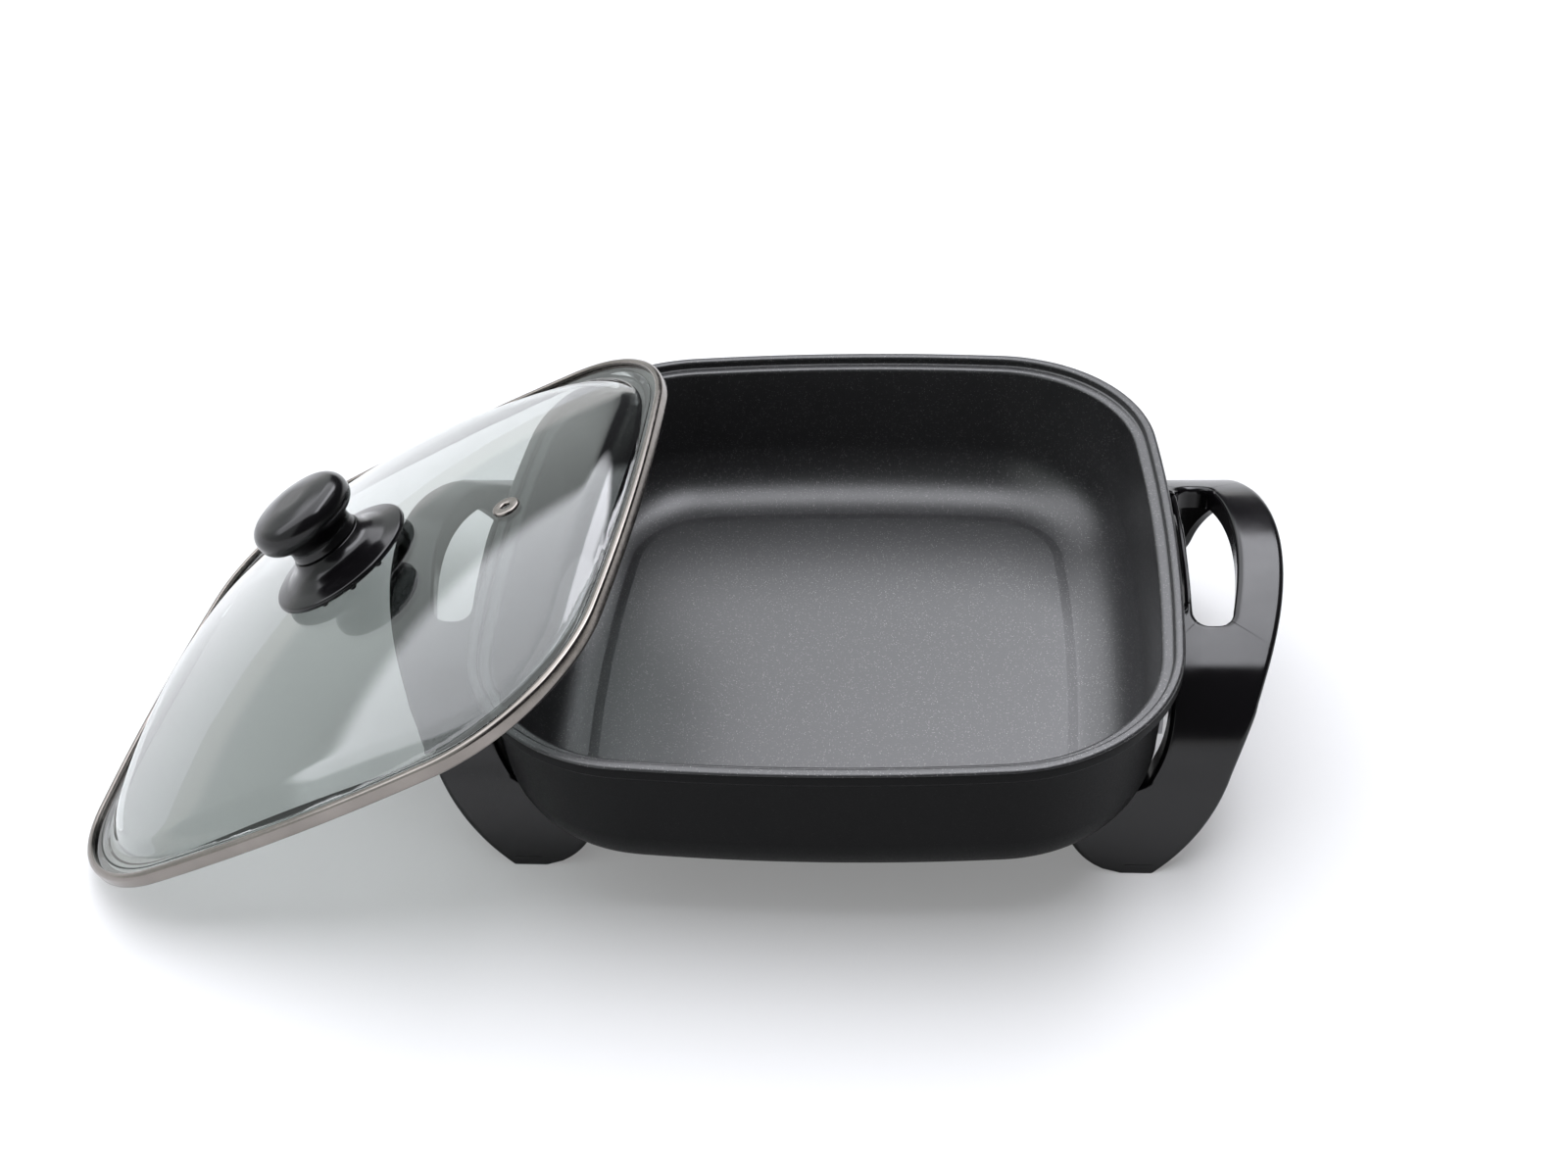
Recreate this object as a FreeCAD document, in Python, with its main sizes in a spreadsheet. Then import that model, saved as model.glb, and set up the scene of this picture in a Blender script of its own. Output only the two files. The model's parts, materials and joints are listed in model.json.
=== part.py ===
# Electric skillet: square deep pan on two handle-and-leg mouldings, with its domed glass lid leaning on it.
# Millimetres. +X runs across the handles, +Y away from the viewer, +Z up.
# The origin is under the middle of the pan, on the surface that the skillet stands on.

import FreeCAD, Part

import math
import os

import Sketcher
from FreeCAD import Placement, Rotation, Vector

doc = FreeCAD.newDocument("electric_skillet")
sheet = doc.addObject("Spreadsheet::Sheet", "Sizes")

SIZES = {
    # pan
    "rim_half": 155.0,
    "side_round": 960.0,
    "corner_round": 80.0,
    "rim_height": 106.0,
    "rim_depth": 6.5,
    "rim_edge": 1.2,
    "lip_width": 4.5,
    "ledge_drop": 4.0,
    "ledge_width": 5.5,
    "wall_top_inset": 6.0,
    "wall_low_inset": 11.0,
    "wall_thick": 4.0,
    "base_height": 28.0,
    "floor_thick": 5.0,
    "inner_fillet": 28.0,
    "floor_inset": 50.0,
    "plateau_inset": 44.5,
    "plateau_rise": 0.8,
    # heating element and its rib
    "element_radius": 3.5,
    "element_drop": 6.0,
    "element_half": 80.0,
    "element_bend": 30.0,
    "element_turnout": 14.0,
    "element_reach": 118.0,
    "element_gap": 0.08,
    "rib_width": 13.0,
    # terminal pins
    "pin_pitch": 25.4,
    "pin_radius": 2.4,
    "pin_root": 2.1,
    "pin_length": 30.0,
    "pin_tip": 0.8,
    "pin_step": 0.3,
    "pin_gap": 0.05,
    "insulator_radius": 4.4,
    "insulator_length": 6.0,
    "insulator_step": 1.0,
    # probe sleeve
    "probe_bore": 4.1,
    "sleeve_wall": 1.4,
    "sleeve_length": 66.0,
    "sleeve_reach": 124.0,
    "sleeve_drop": 7.0,
    "sleeve_gap": 0.03,
    "saddle_width": 15.0,
    # guard round the pins
    "guard_sheet": 1.2,
    "guard_half": 31.0,
    "guard_reach": 152.0,
    "guard_back": 119.5,
    "guard_skirt": 18.0,
    "guard_lip": 9.0,
    "guard_corner": 5.0,
    "tab_back": 96.0,
    "tab_inner": 21.0,
    "tab_screw": 106.0,
    "tab_screw_side": 26.0,
    "guard_screw_radius": 1.7,
    "guard_screw_bite": 3.4,
    "guard_head_radius": 3.4,
    "guard_head_height": 2.0,
    "head_bevel": 1.0,
    # screws, bosses and spacers under the pan
    "screw_place": 91.0,
    "boss_radius": 7.0,
    "boss_height": 8.0,
    "screw_radius": 2.0,
    "screw_gap": 0.05,
    "screw_bite": 9.0,
    "screw_head_radius": 4.2,
    "screw_head_height": 2.6,
    "spacer_radius": 8.0,
    "spacer_thick": 1.5,
    "screw_slack": 0.3,
    # handle and leg moulding, side profile seen along X
    "crown_height": 105.0,
    "shoulder_y": 69.5,
    "shoulder_height": 86.2,
    "flank_y": 84.5,
    "flank_height": 68.5,
    "knee_y": 92.8,
    "knee_height": 43.0,
    "foot_y": 106.5,
    "flange_depth": 12.0,
    "skin": 4.0,
    # handle and leg moulding, front profile seen along Y, each place given outward from the rim
    "handle_reach": 46.0,
    "handle_bow": 200.0,
    "hip_out": 29.0,
    "hip_height": 73.5,
    "shin_out": 18.5,
    "shin_height": 42.0,
    "ankle_out": 7.0,
    "ankle_height": 19.0,
    "heel_out": -11.5,
    "toe_out": -28.0,
    "instep_out": -50.0,
    "rail_out": -7.0,
    "calf_top": 74.0,
    "calf_low": 41.0,
    "calf_out": -16.0,
    "calf_bulge": 2.6,
    "pan_gap": 1.3,
    "tongue_thick": 4.5,
    "tongue_half": 8.0,
    # finger opening
    "opening_inner": 3.5,
    "opening_outer": 25.5,
    "opening_bow": 4.5,
    "opening_half": 50.0,
    "opening_corner": 7.0,
    "opening_wall": 3.2,
    # lid
    "lid_gap": 2.5,
    "band_height": 7.0,
    "band_sheet": 0.8,
    "band_top_lip": 3.6,
    "band_under_lip": 6.5,
    "band_edge": 1.1,
    "glass_thick": 4.0,
    "glass_gap": 0.05,
    "flange_width": 6.5,
    "dome_height": 25.0,
    "dome_round": 520.0,
    "dome_shoulder": 8.0,
    "vent_place": 89.0,
    "vent_radius": 6.5,
    "vent_hole": 2.0,
    "vent_barrel": 3.4,
    "vent_lip": 0.9,
    # knob and its fastening
    "stud_hole": 3.2,
    "seal_radius": 13.0,
    "seal_thick": 1.5,
    "skirt_radius": 35.5,
    "skirt_height": 13.0,
    "skirt_neck": 17.6,
    "skirt_rim": 2.6,
    "skirt_seat": 10.0,
    "nub_radius": 1.6,
    "nub_place": 30.0,
    "nub_height": 4.4,
    "nub_gap": 0.3,
    "nub_count": 12,
    "waist_radius": 17.0,
    "waist_height": 9.0,
    "cap_radius": 25.0,
    "cap_height": 17.0,
    "cap_shoulder": 6.5,
    "insert_radius": 5.0,
    "insert_length": 16.0,
    "stud_radius": 2.4,
    "stud_bite": 12.0,
    "stud_head_radius": 5.5,
    "stud_head_height": 3.0,
    "washer_radius": 10.0,
    "washer_thick": 1.2,
    "fit_gap": 0.05,
    # the lid as it leans
    "lid_low_edge": 341.5,
    "lid_turn": 3.0,
    "lid_shift": 3.5,
    "rest_gap": 0.3,
}

for row, (alias, number) in enumerate(SIZES.items(), start=1):
    sheet.set("A%d" % row, alias)
    sheet.set("B%d" % row, str(number))
    sheet.setAlias("B%d" % row, alias)
doc.recompute()


def size(name):
    """A driving dimension, read from the sheet."""
    return float(sheet.get(name))


def beside_rim(name):
    """A place along X that the sheet gives from the pan's rim: the rim's half width plus that size."""
    return size("rim_half") + size(name)


# Heights and half widths that several pieces share

OUTER_FILLET = size("inner_fillet") + 3.0
RIM_UNDER = size("rim_height") - size("rim_depth")
LEDGE = size("rim_height") - size("ledge_drop")
SEAT_HALF = size("rim_half") - size("lip_width")
WALL_TOP = size("rim_half") - size("wall_top_inset")
WALL_LOW = size("rim_half") - size("wall_low_inset")
FLOOR_HALF = size("rim_half") - size("floor_inset")
PLATEAU_HALF = size("rim_half") - size("plateau_inset")
BASE = size("base_height")
FLOOR = BASE + size("floor_thick")
ELEMENT_Z = BASE - size("element_drop")
SLEEVE_Z = BASE - size("sleeve_drop")
BOSS_Z = BASE - size("boss_height")
TONGUE_TOP = BOSS_Z - size("spacer_thick")
TONGUE_UNDER = TONGUE_TOP - size("tongue_thick")
PIN_Y = size("pin_pitch") / 2


# Drawing helpers


class Via:
    """A point that an arc passes through, between the points before and after it."""

    def __init__(self, across, along):
        self.point = Vector(across, along, 0)


def new_body(label):
    body = doc.addObject("PartDesign::Body", label)
    body.Label = label
    return body


def new_sketch(body, name, role, away=None):
    """A sketch on one of the body's own planes, moved off it by an expression."""
    sketch = body.newObject("Sketcher::SketchObject", name)
    plane = next(item for item in body.Origin.OriginFeatures if item.Role == role)
    sketch.AttachmentSupport = [(plane, "")]
    sketch.MapMode = "FlatFace"
    if away:
        sketch.setExpression("AttachmentOffset.Base.z", away)
    return sketch


def draw(sketch, outline, closed=True):
    """Lines through the outline's points, and arcs where a Via stands between two of them."""
    items = list(outline)
    if closed:
        items.append(outline[0])
    start = Vector(*items[0], 0)
    middle = None
    for item in items[1:]:
        if isinstance(item, Via):
            middle = item.point
            continue
        end = Vector(*item, 0)
        if middle is None:
            sketch.addGeometry(Part.LineSegment(start, end), False)
        else:
            sketch.addGeometry(Part.Arc(start, middle, end), False)
        start, middle = end, None


def circle(sketch, across, along, radius):
    """A circle whose radius is bound to the sheet."""
    index = sketch.addGeometry(Part.Circle(Vector(across, along, 0), Vector(0, 0, 1), 1.0), False)
    rule = sketch.addConstraint(Sketcher.Constraint("Radius", index, 1.0))
    sketch.setExpression("Constraints[%d]" % rule, radius)
    sketch.addConstraint(Sketcher.Constraint("DistanceX", index, 3, across))
    sketch.addConstraint(Sketcher.Constraint("DistanceY", index, 3, along))
    return index


def on_circle(centre, radius, degrees):
    """A point on a circle, for the middle or the end of an arc."""
    turn = math.radians(degrees)
    return centre[0] + radius * math.cos(turn), centre[1] + radius * math.sin(turn)


def rounded_square(sketch, half):
    """The rim's outline, moved in or out: four long side arcs and four corner arcs that run into them."""
    inset = size("rim_half") - half
    side = size("side_round") - inset
    corner = size("corner_round") - inset
    lean = half - side
    spread = (2 * lean + math.sqrt(4 * lean ** 2 - 8 * (lean ** 2 - (side - corner) ** 2))) / 4
    turn = math.atan2(spread, spread - lean)
    quarter = math.pi / 2
    arcs = [(lean, 0, side, 0, turn)]
    for step in range(4):
        angle = step * quarter
        across = spread * (math.cos(angle) - math.sin(angle))
        along = spread * (math.cos(angle) + math.sin(angle))
        arcs.append((across, along, corner, angle + turn, angle + quarter - turn))
        end = angle + quarter
        last = end if step == 3 else end + turn
        arcs.append((lean * math.cos(end), lean * math.sin(end), side, end - turn, last))
    for across, along, radius, start, end in arcs:
        whole = Part.Circle(Vector(across, along, 0), Vector(0, 0, 1), radius)
        sketch.addGeometry(Part.ArcOfCircle(whole, start, end), False)


def pad(body, name, sketch, length, back=False, both=False):
    feature = body.newObject("PartDesign::Pad", name)
    feature.Profile = sketch
    feature.setExpression("Length", length)
    feature.Reversed = back
    feature.Midplane = both
    body.Tip = feature
    return feature


def pocket(body, name, sketch, length=None, back=False, both=False):
    """A cut by a bound depth, or right through both ways where no depth is given."""
    feature = body.newObject("PartDesign::Pocket", name)
    feature.Profile = sketch
    feature.Reversed = back
    if length is None:
        feature.Type = "ThroughAll"
        feature.Midplane = True
    else:
        feature.setExpression("Length", length)
        feature.Midplane = both
    body.Tip = feature
    return feature


def turned(label, outline):
    """A piece turned round its own Z axis, from its half section in the XZ plane."""
    body = new_body(label)
    sketch = new_sketch(body, label + "_section", "XZ_Plane")
    draw(sketch, outline)
    feature = body.newObject("PartDesign::Revolution", label + "_turn")
    feature.Profile = sketch
    feature.ReferenceAxis = (sketch, ["V_Axis"])
    feature.Angle = 360
    body.Tip = feature
    return body


def swept(body, name, section, path, kind="AdditivePipe"):
    feature = body.newObject("PartDesign::" + kind, name)
    feature.Profile = section
    feature.Spine = (path, [])
    body.Tip = feature
    return feature


# Pan


def pan_section():
    """The wall in the XZ plane: base edge, outer fillet, wall, rim, ledge, wall and inner fillet."""
    low = WALL_LOW
    top = WALL_TOP
    edge = size("rim_edge")
    rim = size("rim_half")
    height = size("rim_height")
    ledge_in = SEAT_HALF - size("ledge_width")
    outer = (low - OUTER_FILLET, BASE + OUTER_FILLET)
    inner_low = low - size("wall_thick")
    inner = (inner_low - size("inner_fillet"), FLOOR + size("inner_fillet"))
    join = FLOOR_HALF - 1.0
    return [
        (join, BASE),
        (outer[0], BASE),
        Via(*on_circle(outer, OUTER_FILLET, -45)),
        (low, outer[1]),
        (top, RIM_UNDER),
        (rim - edge, RIM_UNDER),
        (rim, RIM_UNDER + edge),
        (rim, height - edge),
        (rim - edge, height),
        (SEAT_HALF + edge, height),
        (SEAT_HALF, height - edge),
        (SEAT_HALF, LEDGE),
        (ledge_in + edge, LEDGE),
        (ledge_in, LEDGE - edge),
        (inner_low, inner[1]),
        Via(*on_circle(inner, size("inner_fillet"), -45)),
        (inner[0], FLOOR),
        (join, FLOOR),
    ]


def element_route():
    """The element's centre line: in from one terminal, round under the pan and out to the other."""
    half = size("element_half")
    bend = size("element_bend")
    out = size("element_turnout")
    reach = size("element_reach")
    slant = math.sqrt(0.5)
    near = PIN_Y + out
    return [
        (reach, -PIN_Y),
        (half + out, -PIN_Y),
        Via(half + out - out * slant, -near + out * slant),
        (half, -near),
        (half, -half + bend),
        Via(half - bend + bend * slant, -half + bend - bend * slant),
        (half - bend, -half),
        (-half + bend, -half),
        Via(-half + bend - bend * slant, -half + bend - bend * slant),
        (-half, -half + bend),
        (-half, half - bend),
        Via(-half + bend - bend * slant, half - bend + bend * slant),
        (-half + bend, half),
        (half - bend, half),
        Via(half - bend + bend * slant, half - bend + bend * slant),
        (half, half - bend),
        (half, near),
        Via(half + out - out * slant, near - out * slant),
        (half + out, PIN_Y),
        (reach, PIN_Y),
    ]


def element_tube(body, name, radius, kind):
    """A round section at the first terminal, swept along the element's route."""
    path = new_sketch(body, name + "_path", "XY_Plane", "Sizes.base_height - Sizes.element_drop")
    draw(path, element_route(), closed=False)
    section = new_sketch(body, name + "_section", "YZ_Plane", "Sizes.element_reach")
    circle(section, -PIN_Y, ELEMENT_Z, radius)
    return swept(body, name, section, path, kind)


def make_pan():
    body = new_body("pan")
    path = new_sketch(body, "rim_path", "XY_Plane", "Sizes.rim_height")
    rounded_square(path, size("rim_half"))
    section = new_sketch(body, "wall_section", "XZ_Plane")
    draw(section, pan_section())
    swept(body, "wall", section, path)

    floor = new_sketch(body, "floor_outline", "XY_Plane", "Sizes.base_height")
    rounded_square(floor, FLOOR_HALF)
    pad(body, "floor", floor, "Sizes.floor_thick")

    plateau = new_sketch(body, "plateau_outline", "XY_Plane", "Sizes.base_height + Sizes.floor_thick")
    rounded_square(plateau, PLATEAU_HALF)
    pad(body, "plateau", plateau, "Sizes.plateau_rise")

    rib_path = new_sketch(body, "rib_path", "XY_Plane", "Sizes.base_height - Sizes.element_drop")
    draw(rib_path, element_route(), closed=False)
    rib = new_sketch(body, "rib_section", "YZ_Plane", "Sizes.element_reach")
    half = size("rib_width") / 2
    draw(rib, [
        (-PIN_Y - half, ELEMENT_Z),
        (-PIN_Y + half, ELEMENT_Z),
        (-PIN_Y + half, BASE),
        (-PIN_Y - half, BASE),
    ])
    swept(body, "rib", rib, rib_path)
    element_tube(body, "rib_groove", "Sizes.element_radius + Sizes.element_gap", "SubtractivePipe")

    saddle = new_sketch(body, "saddle_section", "YZ_Plane", "Sizes.sleeve_reach - Sizes.sleeve_length")
    side = size("saddle_width") / 2
    radius = size("probe_bore") + size("sleeve_wall") + size("sleeve_gap")
    draw(saddle, [
        (-side, BASE),
        (-side, SLEEVE_Z),
        (-radius, SLEEVE_Z),
        Via(0, SLEEVE_Z + radius),
        (radius, SLEEVE_Z),
        (side, SLEEVE_Z),
        (side, BASE),
    ])
    pad(body, "saddle", saddle, "Sizes.element_reach - Sizes.sleeve_reach + Sizes.sleeve_length")

    bosses = new_sketch(body, "boss_rings", "XY_Plane", "Sizes.base_height - Sizes.boss_height")
    place = size("screw_place")
    for across in (-place, place):
        for along in (-place, place):
            circle(bosses, across, along, "Sizes.boss_radius")
    pad(body, "bosses", bosses, "Sizes.boss_height")

    holes = new_sketch(body, "screw_holes", "XY_Plane", "Sizes.base_height - Sizes.boss_height")
    for across in (-place, place):
        for along in (-place, place):
            circle(holes, across, along, "Sizes.screw_radius + Sizes.screw_gap")
    pocket(body, "boss_holes", holes, "Sizes.screw_bite + Sizes.screw_slack", back=True)

    guard_holes = new_sketch(body, "guard_hole_rings", "XY_Plane", "Sizes.base_height")
    for along in (-size("tab_screw_side"), size("tab_screw_side")):
        circle(guard_holes, size("tab_screw"), along, "Sizes.guard_screw_radius + Sizes.screw_gap")
    pocket(body, "guard_holes", guard_holes, "Sizes.guard_screw_bite + Sizes.screw_slack", back=True)
    return body


# Heating element, pins, insulators and probe sleeve


def make_element():
    body = new_body("heating_element")
    element_tube(body, "element_tube", "Sizes.element_radius", "AdditivePipe")
    return body


def laid_along_x(body, reach, along, height):
    """Turns a piece made along Z so that it points out to +X from the given place."""
    body.Placement = Placement(Vector(reach, along, height), Rotation(Vector(0, 1, 0), 90))
    return body


def make_pin(label, along):
    radius = size("pin_radius")
    root = size("pin_root")
    length = size("pin_length")
    tip = size("pin_tip")
    bare = size("insulator_length") + size("pin_step")
    pin = turned(label, [
        (0, 0),
        (root, 0),
        (root, bare),
        (radius, bare),
        (radius, length - tip),
        (radius - tip, length),
        (0, length),
    ])
    return laid_along_x(pin, size("element_reach"), along, ELEMENT_Z)


def make_insulator(label, along):
    bore = size("pin_root") + size("pin_gap")
    radius = size("insulator_radius")
    length = size("insulator_length")
    step = size("insulator_step")
    neck = radius - step
    outline = [
        (bore, 0),
        (radius, 0),
        (radius, length / 2),
        (neck, length / 2 + step),
        (neck, length),
        (bore, length),
    ]
    return laid_along_x(turned(label, outline), size("element_reach"), along, ELEMENT_Z)


def make_sleeve():
    bore = size("probe_bore")
    radius = bore + size("sleeve_wall")
    length = size("sleeve_length")
    mouth = size("sleeve_wall") / 2
    outline = [(bore, 0), (radius, 0), (radius, length), (bore + mouth, length), (bore, length - mouth)]
    return laid_along_x(turned("probe_sleeve", outline), size("sleeve_reach") - length, 0, SLEEVE_Z)


# Guard round the pins


def make_guard():
    body = new_body("inlet_guard")
    sheet_thick = size("guard_sheet")
    half = size("guard_half")
    bend = size("guard_corner")
    under = BASE - size("guard_skirt")
    lip = size("guard_lip")
    top = BASE
    inner = half - sheet_thick
    tight = bend - sheet_thick
    section = new_sketch(body, "guard_section", "YZ_Plane", "Sizes.guard_back")
    draw(section, [
        (-half + lip, under),
        (-half + bend, under),
        Via(*on_circle((-half + bend, under + bend), bend, 225)),
        (-half, under + bend),
        (-half, top - bend),
        Via(*on_circle((-half + bend, top - bend), bend, 135)),
        (-half + bend, top),
        (half - bend, top),
        Via(*on_circle((half - bend, top - bend), bend, 45)),
        (half, top - bend),
        (half, under + bend),
        Via(*on_circle((half - bend, under + bend), bend, -45)),
        (half - bend, under),
        (half - lip, under),
        (half - lip, under + sheet_thick),
        (half - bend, under + sheet_thick),
        Via(*on_circle((half - bend, under + bend), tight, -45)),
        (inner, under + bend),
        (inner, top - bend),
        Via(*on_circle((half - bend, top - bend), tight, 45)),
        (half - bend, top - sheet_thick),
        (-half + bend, top - sheet_thick),
        Via(*on_circle((-half + bend, top - bend), tight, 135)),
        (-inner, top - bend),
        (-inner, under + bend),
        Via(*on_circle((-half + bend, under + bend), tight, 225)),
        (-half + bend, under + sheet_thick),
        (-half + lip, under + sheet_thick),
    ])
    pad(body, "guard_hood", section, "Sizes.guard_reach - Sizes.guard_back")

    tabs = new_sketch(body, "guard_tabs", "XY_Plane", "Sizes.base_height - Sizes.guard_sheet")
    back = size("tab_back")
    front = size("guard_back") + 1.0
    inside = size("tab_inner")
    for side in (-1, 1):
        draw(tabs, [
            (front, side * inside),
            (back, side * inside),
            (back, side * (half - 1.0)),
            (front, side * (half - bend)),
        ])
        circle(tabs, size("tab_screw"), side * size("tab_screw_side"), "Sizes.guard_screw_radius + Sizes.screw_gap")
    pad(body, "guard_ears", tabs, "Sizes.guard_sheet")
    return body


def headed_pin(label, radius, head, height, length):
    """A screw without its thread: head below with a bevelled rim, plain shank above."""
    bevel = size("head_bevel")
    return turned(label, [
        (0, 0),
        (head - bevel, 0),
        (head, bevel),
        (head, height),
        (radius, height),
        (radius, length),
        (0, length),
    ])


def make_guard_screw(label, side):
    """Pan head under the ear, shank up into the pan's base."""
    radius = size("guard_screw_radius")
    head = size("guard_head_radius")
    height = size("guard_head_height")
    length = height + size("guard_sheet") + size("guard_screw_bite")
    screw = headed_pin(label, radius, head, height, length)
    under = BASE - size("guard_sheet") - height
    screw.Placement = Placement(Vector(size("tab_screw"), side * size("tab_screw_side"), under), Rotation())
    return screw


# Screws and spacers that hold the mouldings


def make_spacer(label, across, along):
    bore = size("screw_radius") + size("screw_gap")
    radius = size("spacer_radius")
    thick = size("spacer_thick")
    spacer = turned(label, [(bore, 0), (radius, 0), (radius, thick), (bore, thick)])
    spacer.Placement = Placement(Vector(across, along, TONGUE_TOP), Rotation())
    return spacer


def make_screw(label, across, along):
    radius = size("screw_radius")
    head = size("screw_head_radius")
    height = size("screw_head_height")
    length = height + size("tongue_thick") + size("spacer_thick") + size("screw_bite")
    screw = headed_pin(label, radius, head, height, length)
    screw.Placement = Placement(Vector(across, along, TONGUE_UNDER - height), Rotation())
    return screw


# Handle and leg moulding


def arch_points(depth):
    """The side profile's points on the +Y side, moved in from the outer face by the depth."""
    moved = []
    for name, degrees in (("shoulder", 35.0), ("flank", 30.0), ("knee", 16.0)):
        turn = math.radians(90 - degrees if name == "shoulder" else degrees)
        along = size(name + "_y") - depth * math.cos(turn)
        height = size(name + "_height") - depth * math.sin(turn)
        moved.append((along, height))
    foot = (size("foot_y") - depth, 0.0)
    return [(0.0, size("crown_height") - depth)] + moved + [foot]


def arch_face(outer, inner, foot=0.0):
    """The band between two depths, from one foot over the top to the other."""

    def half(depth, side):
        crown, shoulder, flank, knee, end = arch_points(depth)
        return (side * shoulder[0], shoulder[1]), (side * flank[0], flank[1]), (side * knee[0], knee[1]), \
            (side * (end[0] - foot * (end[0] - knee[0]) / knee[1]), foot)

    front, back = -1, 1
    outline = []
    shoulder, flank, knee, end = half(outer, front)
    outline += [end, knee, Via(*flank), shoulder, Via(0, arch_points(outer)[0][1])]
    shoulder, flank, knee, end = half(outer, back)
    outline += [shoulder, Via(*flank), knee, end]
    shoulder, flank, knee, end = half(inner, back)
    outline += [end, knee, Via(*flank), shoulder, Via(0, arch_points(inner)[0][1])]
    shoulder, flank, knee, end = half(inner, front)
    outline += [shoulder, Via(*flank), knee, end]
    return outline


def front_outline(inset, high):
    """The moulding seen from the front: the leg's outer sweep, the foot, the instep and the inner edge."""
    inner = beside_rim("rail_out") + inset
    return [
        (beside_rim("toe_out") + inset / 2, inset),
        (beside_rim("heel_out") - inset, inset),
        Via(beside_rim("ankle_out") - inset, size("ankle_height") + inset / 3),
        (beside_rim("shin_out") - inset, size("shin_height")),
        Via(beside_rim("hip_out") - inset, size("hip_height")),
        (beside_rim("handle_reach") + 1.0 - inset, size("crown_height") + 2.0),
        (beside_rim("handle_reach") + 1.0 - inset, high),
        (inner, high),
        (inner, size("calf_top")),
        Via(inner - size("calf_bulge"), (size("calf_top") + size("calf_low")) / 2),
        (beside_rim("calf_out") + inset, size("calf_low")),
        (beside_rim("instep_out") + inset, BASE),
        (beside_rim("instep_out") + inset, TONGUE_TOP - 1.0 - inset / 2),
        Via(beside_rim("instep_out") + 9.0 + inset, 5.0 + inset / 2),
    ]


def plan_outline(inset):
    """The moulding seen from above: straight beside the pan, bowed outside."""
    reach = beside_rim("handle_reach") - inset
    bow = size("handle_bow") - inset
    far = 70.0
    start = reach - bow
    edge = start + math.sqrt(bow ** 2 - far ** 2)
    foot = size("foot_y") + 5.0
    return [
        (beside_rim("instep_out") - 40.0, -foot),
        (edge + 4.0, -foot),
        (edge + 4.0, -far - 8.0),
        (edge, -far),
        Via(reach, 0),
        (edge, far),
        (edge + 4.0, far + 8.0),
        (edge + 4.0, foot),
        (beside_rim("instep_out") - 40.0, foot),
    ]


def prism(label, role, outline, length, away=None, back=False, both=False):
    body = new_body(label)
    sketch = new_sketch(body, label + "_outline", role, away)
    draw(sketch, outline)
    pad(body, label + "_pad", sketch, length, back=back, both=both)
    return body


def joined(kind, label, base, tool):
    feature = doc.addObject("Part::" + kind, label)
    feature.Base = base
    feature.Tool = tool
    return feature


def common(label, pieces):
    """What several solids share, taken two at a time."""
    result = pieces[0]
    for number, piece in enumerate(pieces[1:], start=1):
        step = doc.addObject("Part::Common", "%s_%d" % (label, number))
        step.Base = result
        step.Tool = piece
        result = step
    return result


def pan_envelope(label, gap, high):
    """The space that the pan takes, let out all round by a gap, to trim what lies against it."""
    body = new_body(label)
    path = new_sketch(body, label + "_path", "XY_Plane", "Sizes.rim_height")
    rounded_square(path, size("rim_half"))
    low = WALL_LOW
    centre = (low - OUTER_FILLET, BASE + OUTER_FILLET)
    join = FLOOR_HALF - 1.0
    section = new_sketch(body, label + "_section", "XZ_Plane")
    draw(section, [
        (join, BASE - gap),
        (centre[0], BASE - gap),
        Via(*on_circle(centre, OUTER_FILLET + gap, -45)),
        (low + gap, centre[1]),
        (WALL_TOP + gap, RIM_UNDER - gap),
        (size("rim_half") + gap, RIM_UNDER - gap),
        (size("rim_half") + gap, high),
        (join, high),
    ])
    swept(body, label + "_wall", section, path)
    middle = new_sketch(body, label + "_outline", "XY_Plane")
    middle.AttachmentOffset = Placement(Vector(0, 0, BASE - gap), Rotation())
    rounded_square(middle, FLOOR_HALF)
    pad(body, label + "_middle", middle, "%g - Sizes.base_height" % (high + gap))
    return body


def moulding_block(label, outer, inner, inset, foot):
    """The arch band, cut to the front and plan outlines and kept clear of the pan."""
    high = size("crown_height") + 5.0
    band = prism(label + "_band", "YZ_Plane", arch_face(outer, inner, foot), "Sizes.rim_half + Sizes.handle_reach + 20")
    front = prism(label + "_front", "XZ_Plane", front_outline(inset, high), "Sizes.foot_y * 2 + 20", both=True)
    plan = prism(label + "_plan", "XY_Plane", plan_outline(inset), "Sizes.rim_height + 20")
    block = common(label + "_block", [band, front, plan])
    pan_space = pan_envelope(label + "_pan_space", size("pan_gap") + inset, high)
    return joined("Cut", label + "_clear", block, pan_space)


def opening_outline(grow):
    """The finger opening, straight beside the pan and bowed outside, its four corners round."""
    left = beside_rim("opening_inner") - grow
    right = beside_rim("opening_outer") + grow
    half = size("opening_half") + grow
    corner = size("opening_corner") + grow
    bow = size("opening_bow")
    return [
        (left + corner, -half),
        (right - bow - corner, -half),
        Via(*on_circle((right - bow - corner, -half + corner), corner, -45)),
        (right - bow, -half + corner),
        Via(right, 0),
        (right - bow, half - corner),
        Via(*on_circle((right - bow - corner, half - corner), corner, 45)),
        (right - bow - corner, half),
        (left + corner, half),
        Via(*on_circle((left + corner, half - corner), corner, 135)),
        (left, half - corner),
        (left, -half + corner),
        Via(*on_circle((left + corner, -half + corner), corner, 225)),
    ]


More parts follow.
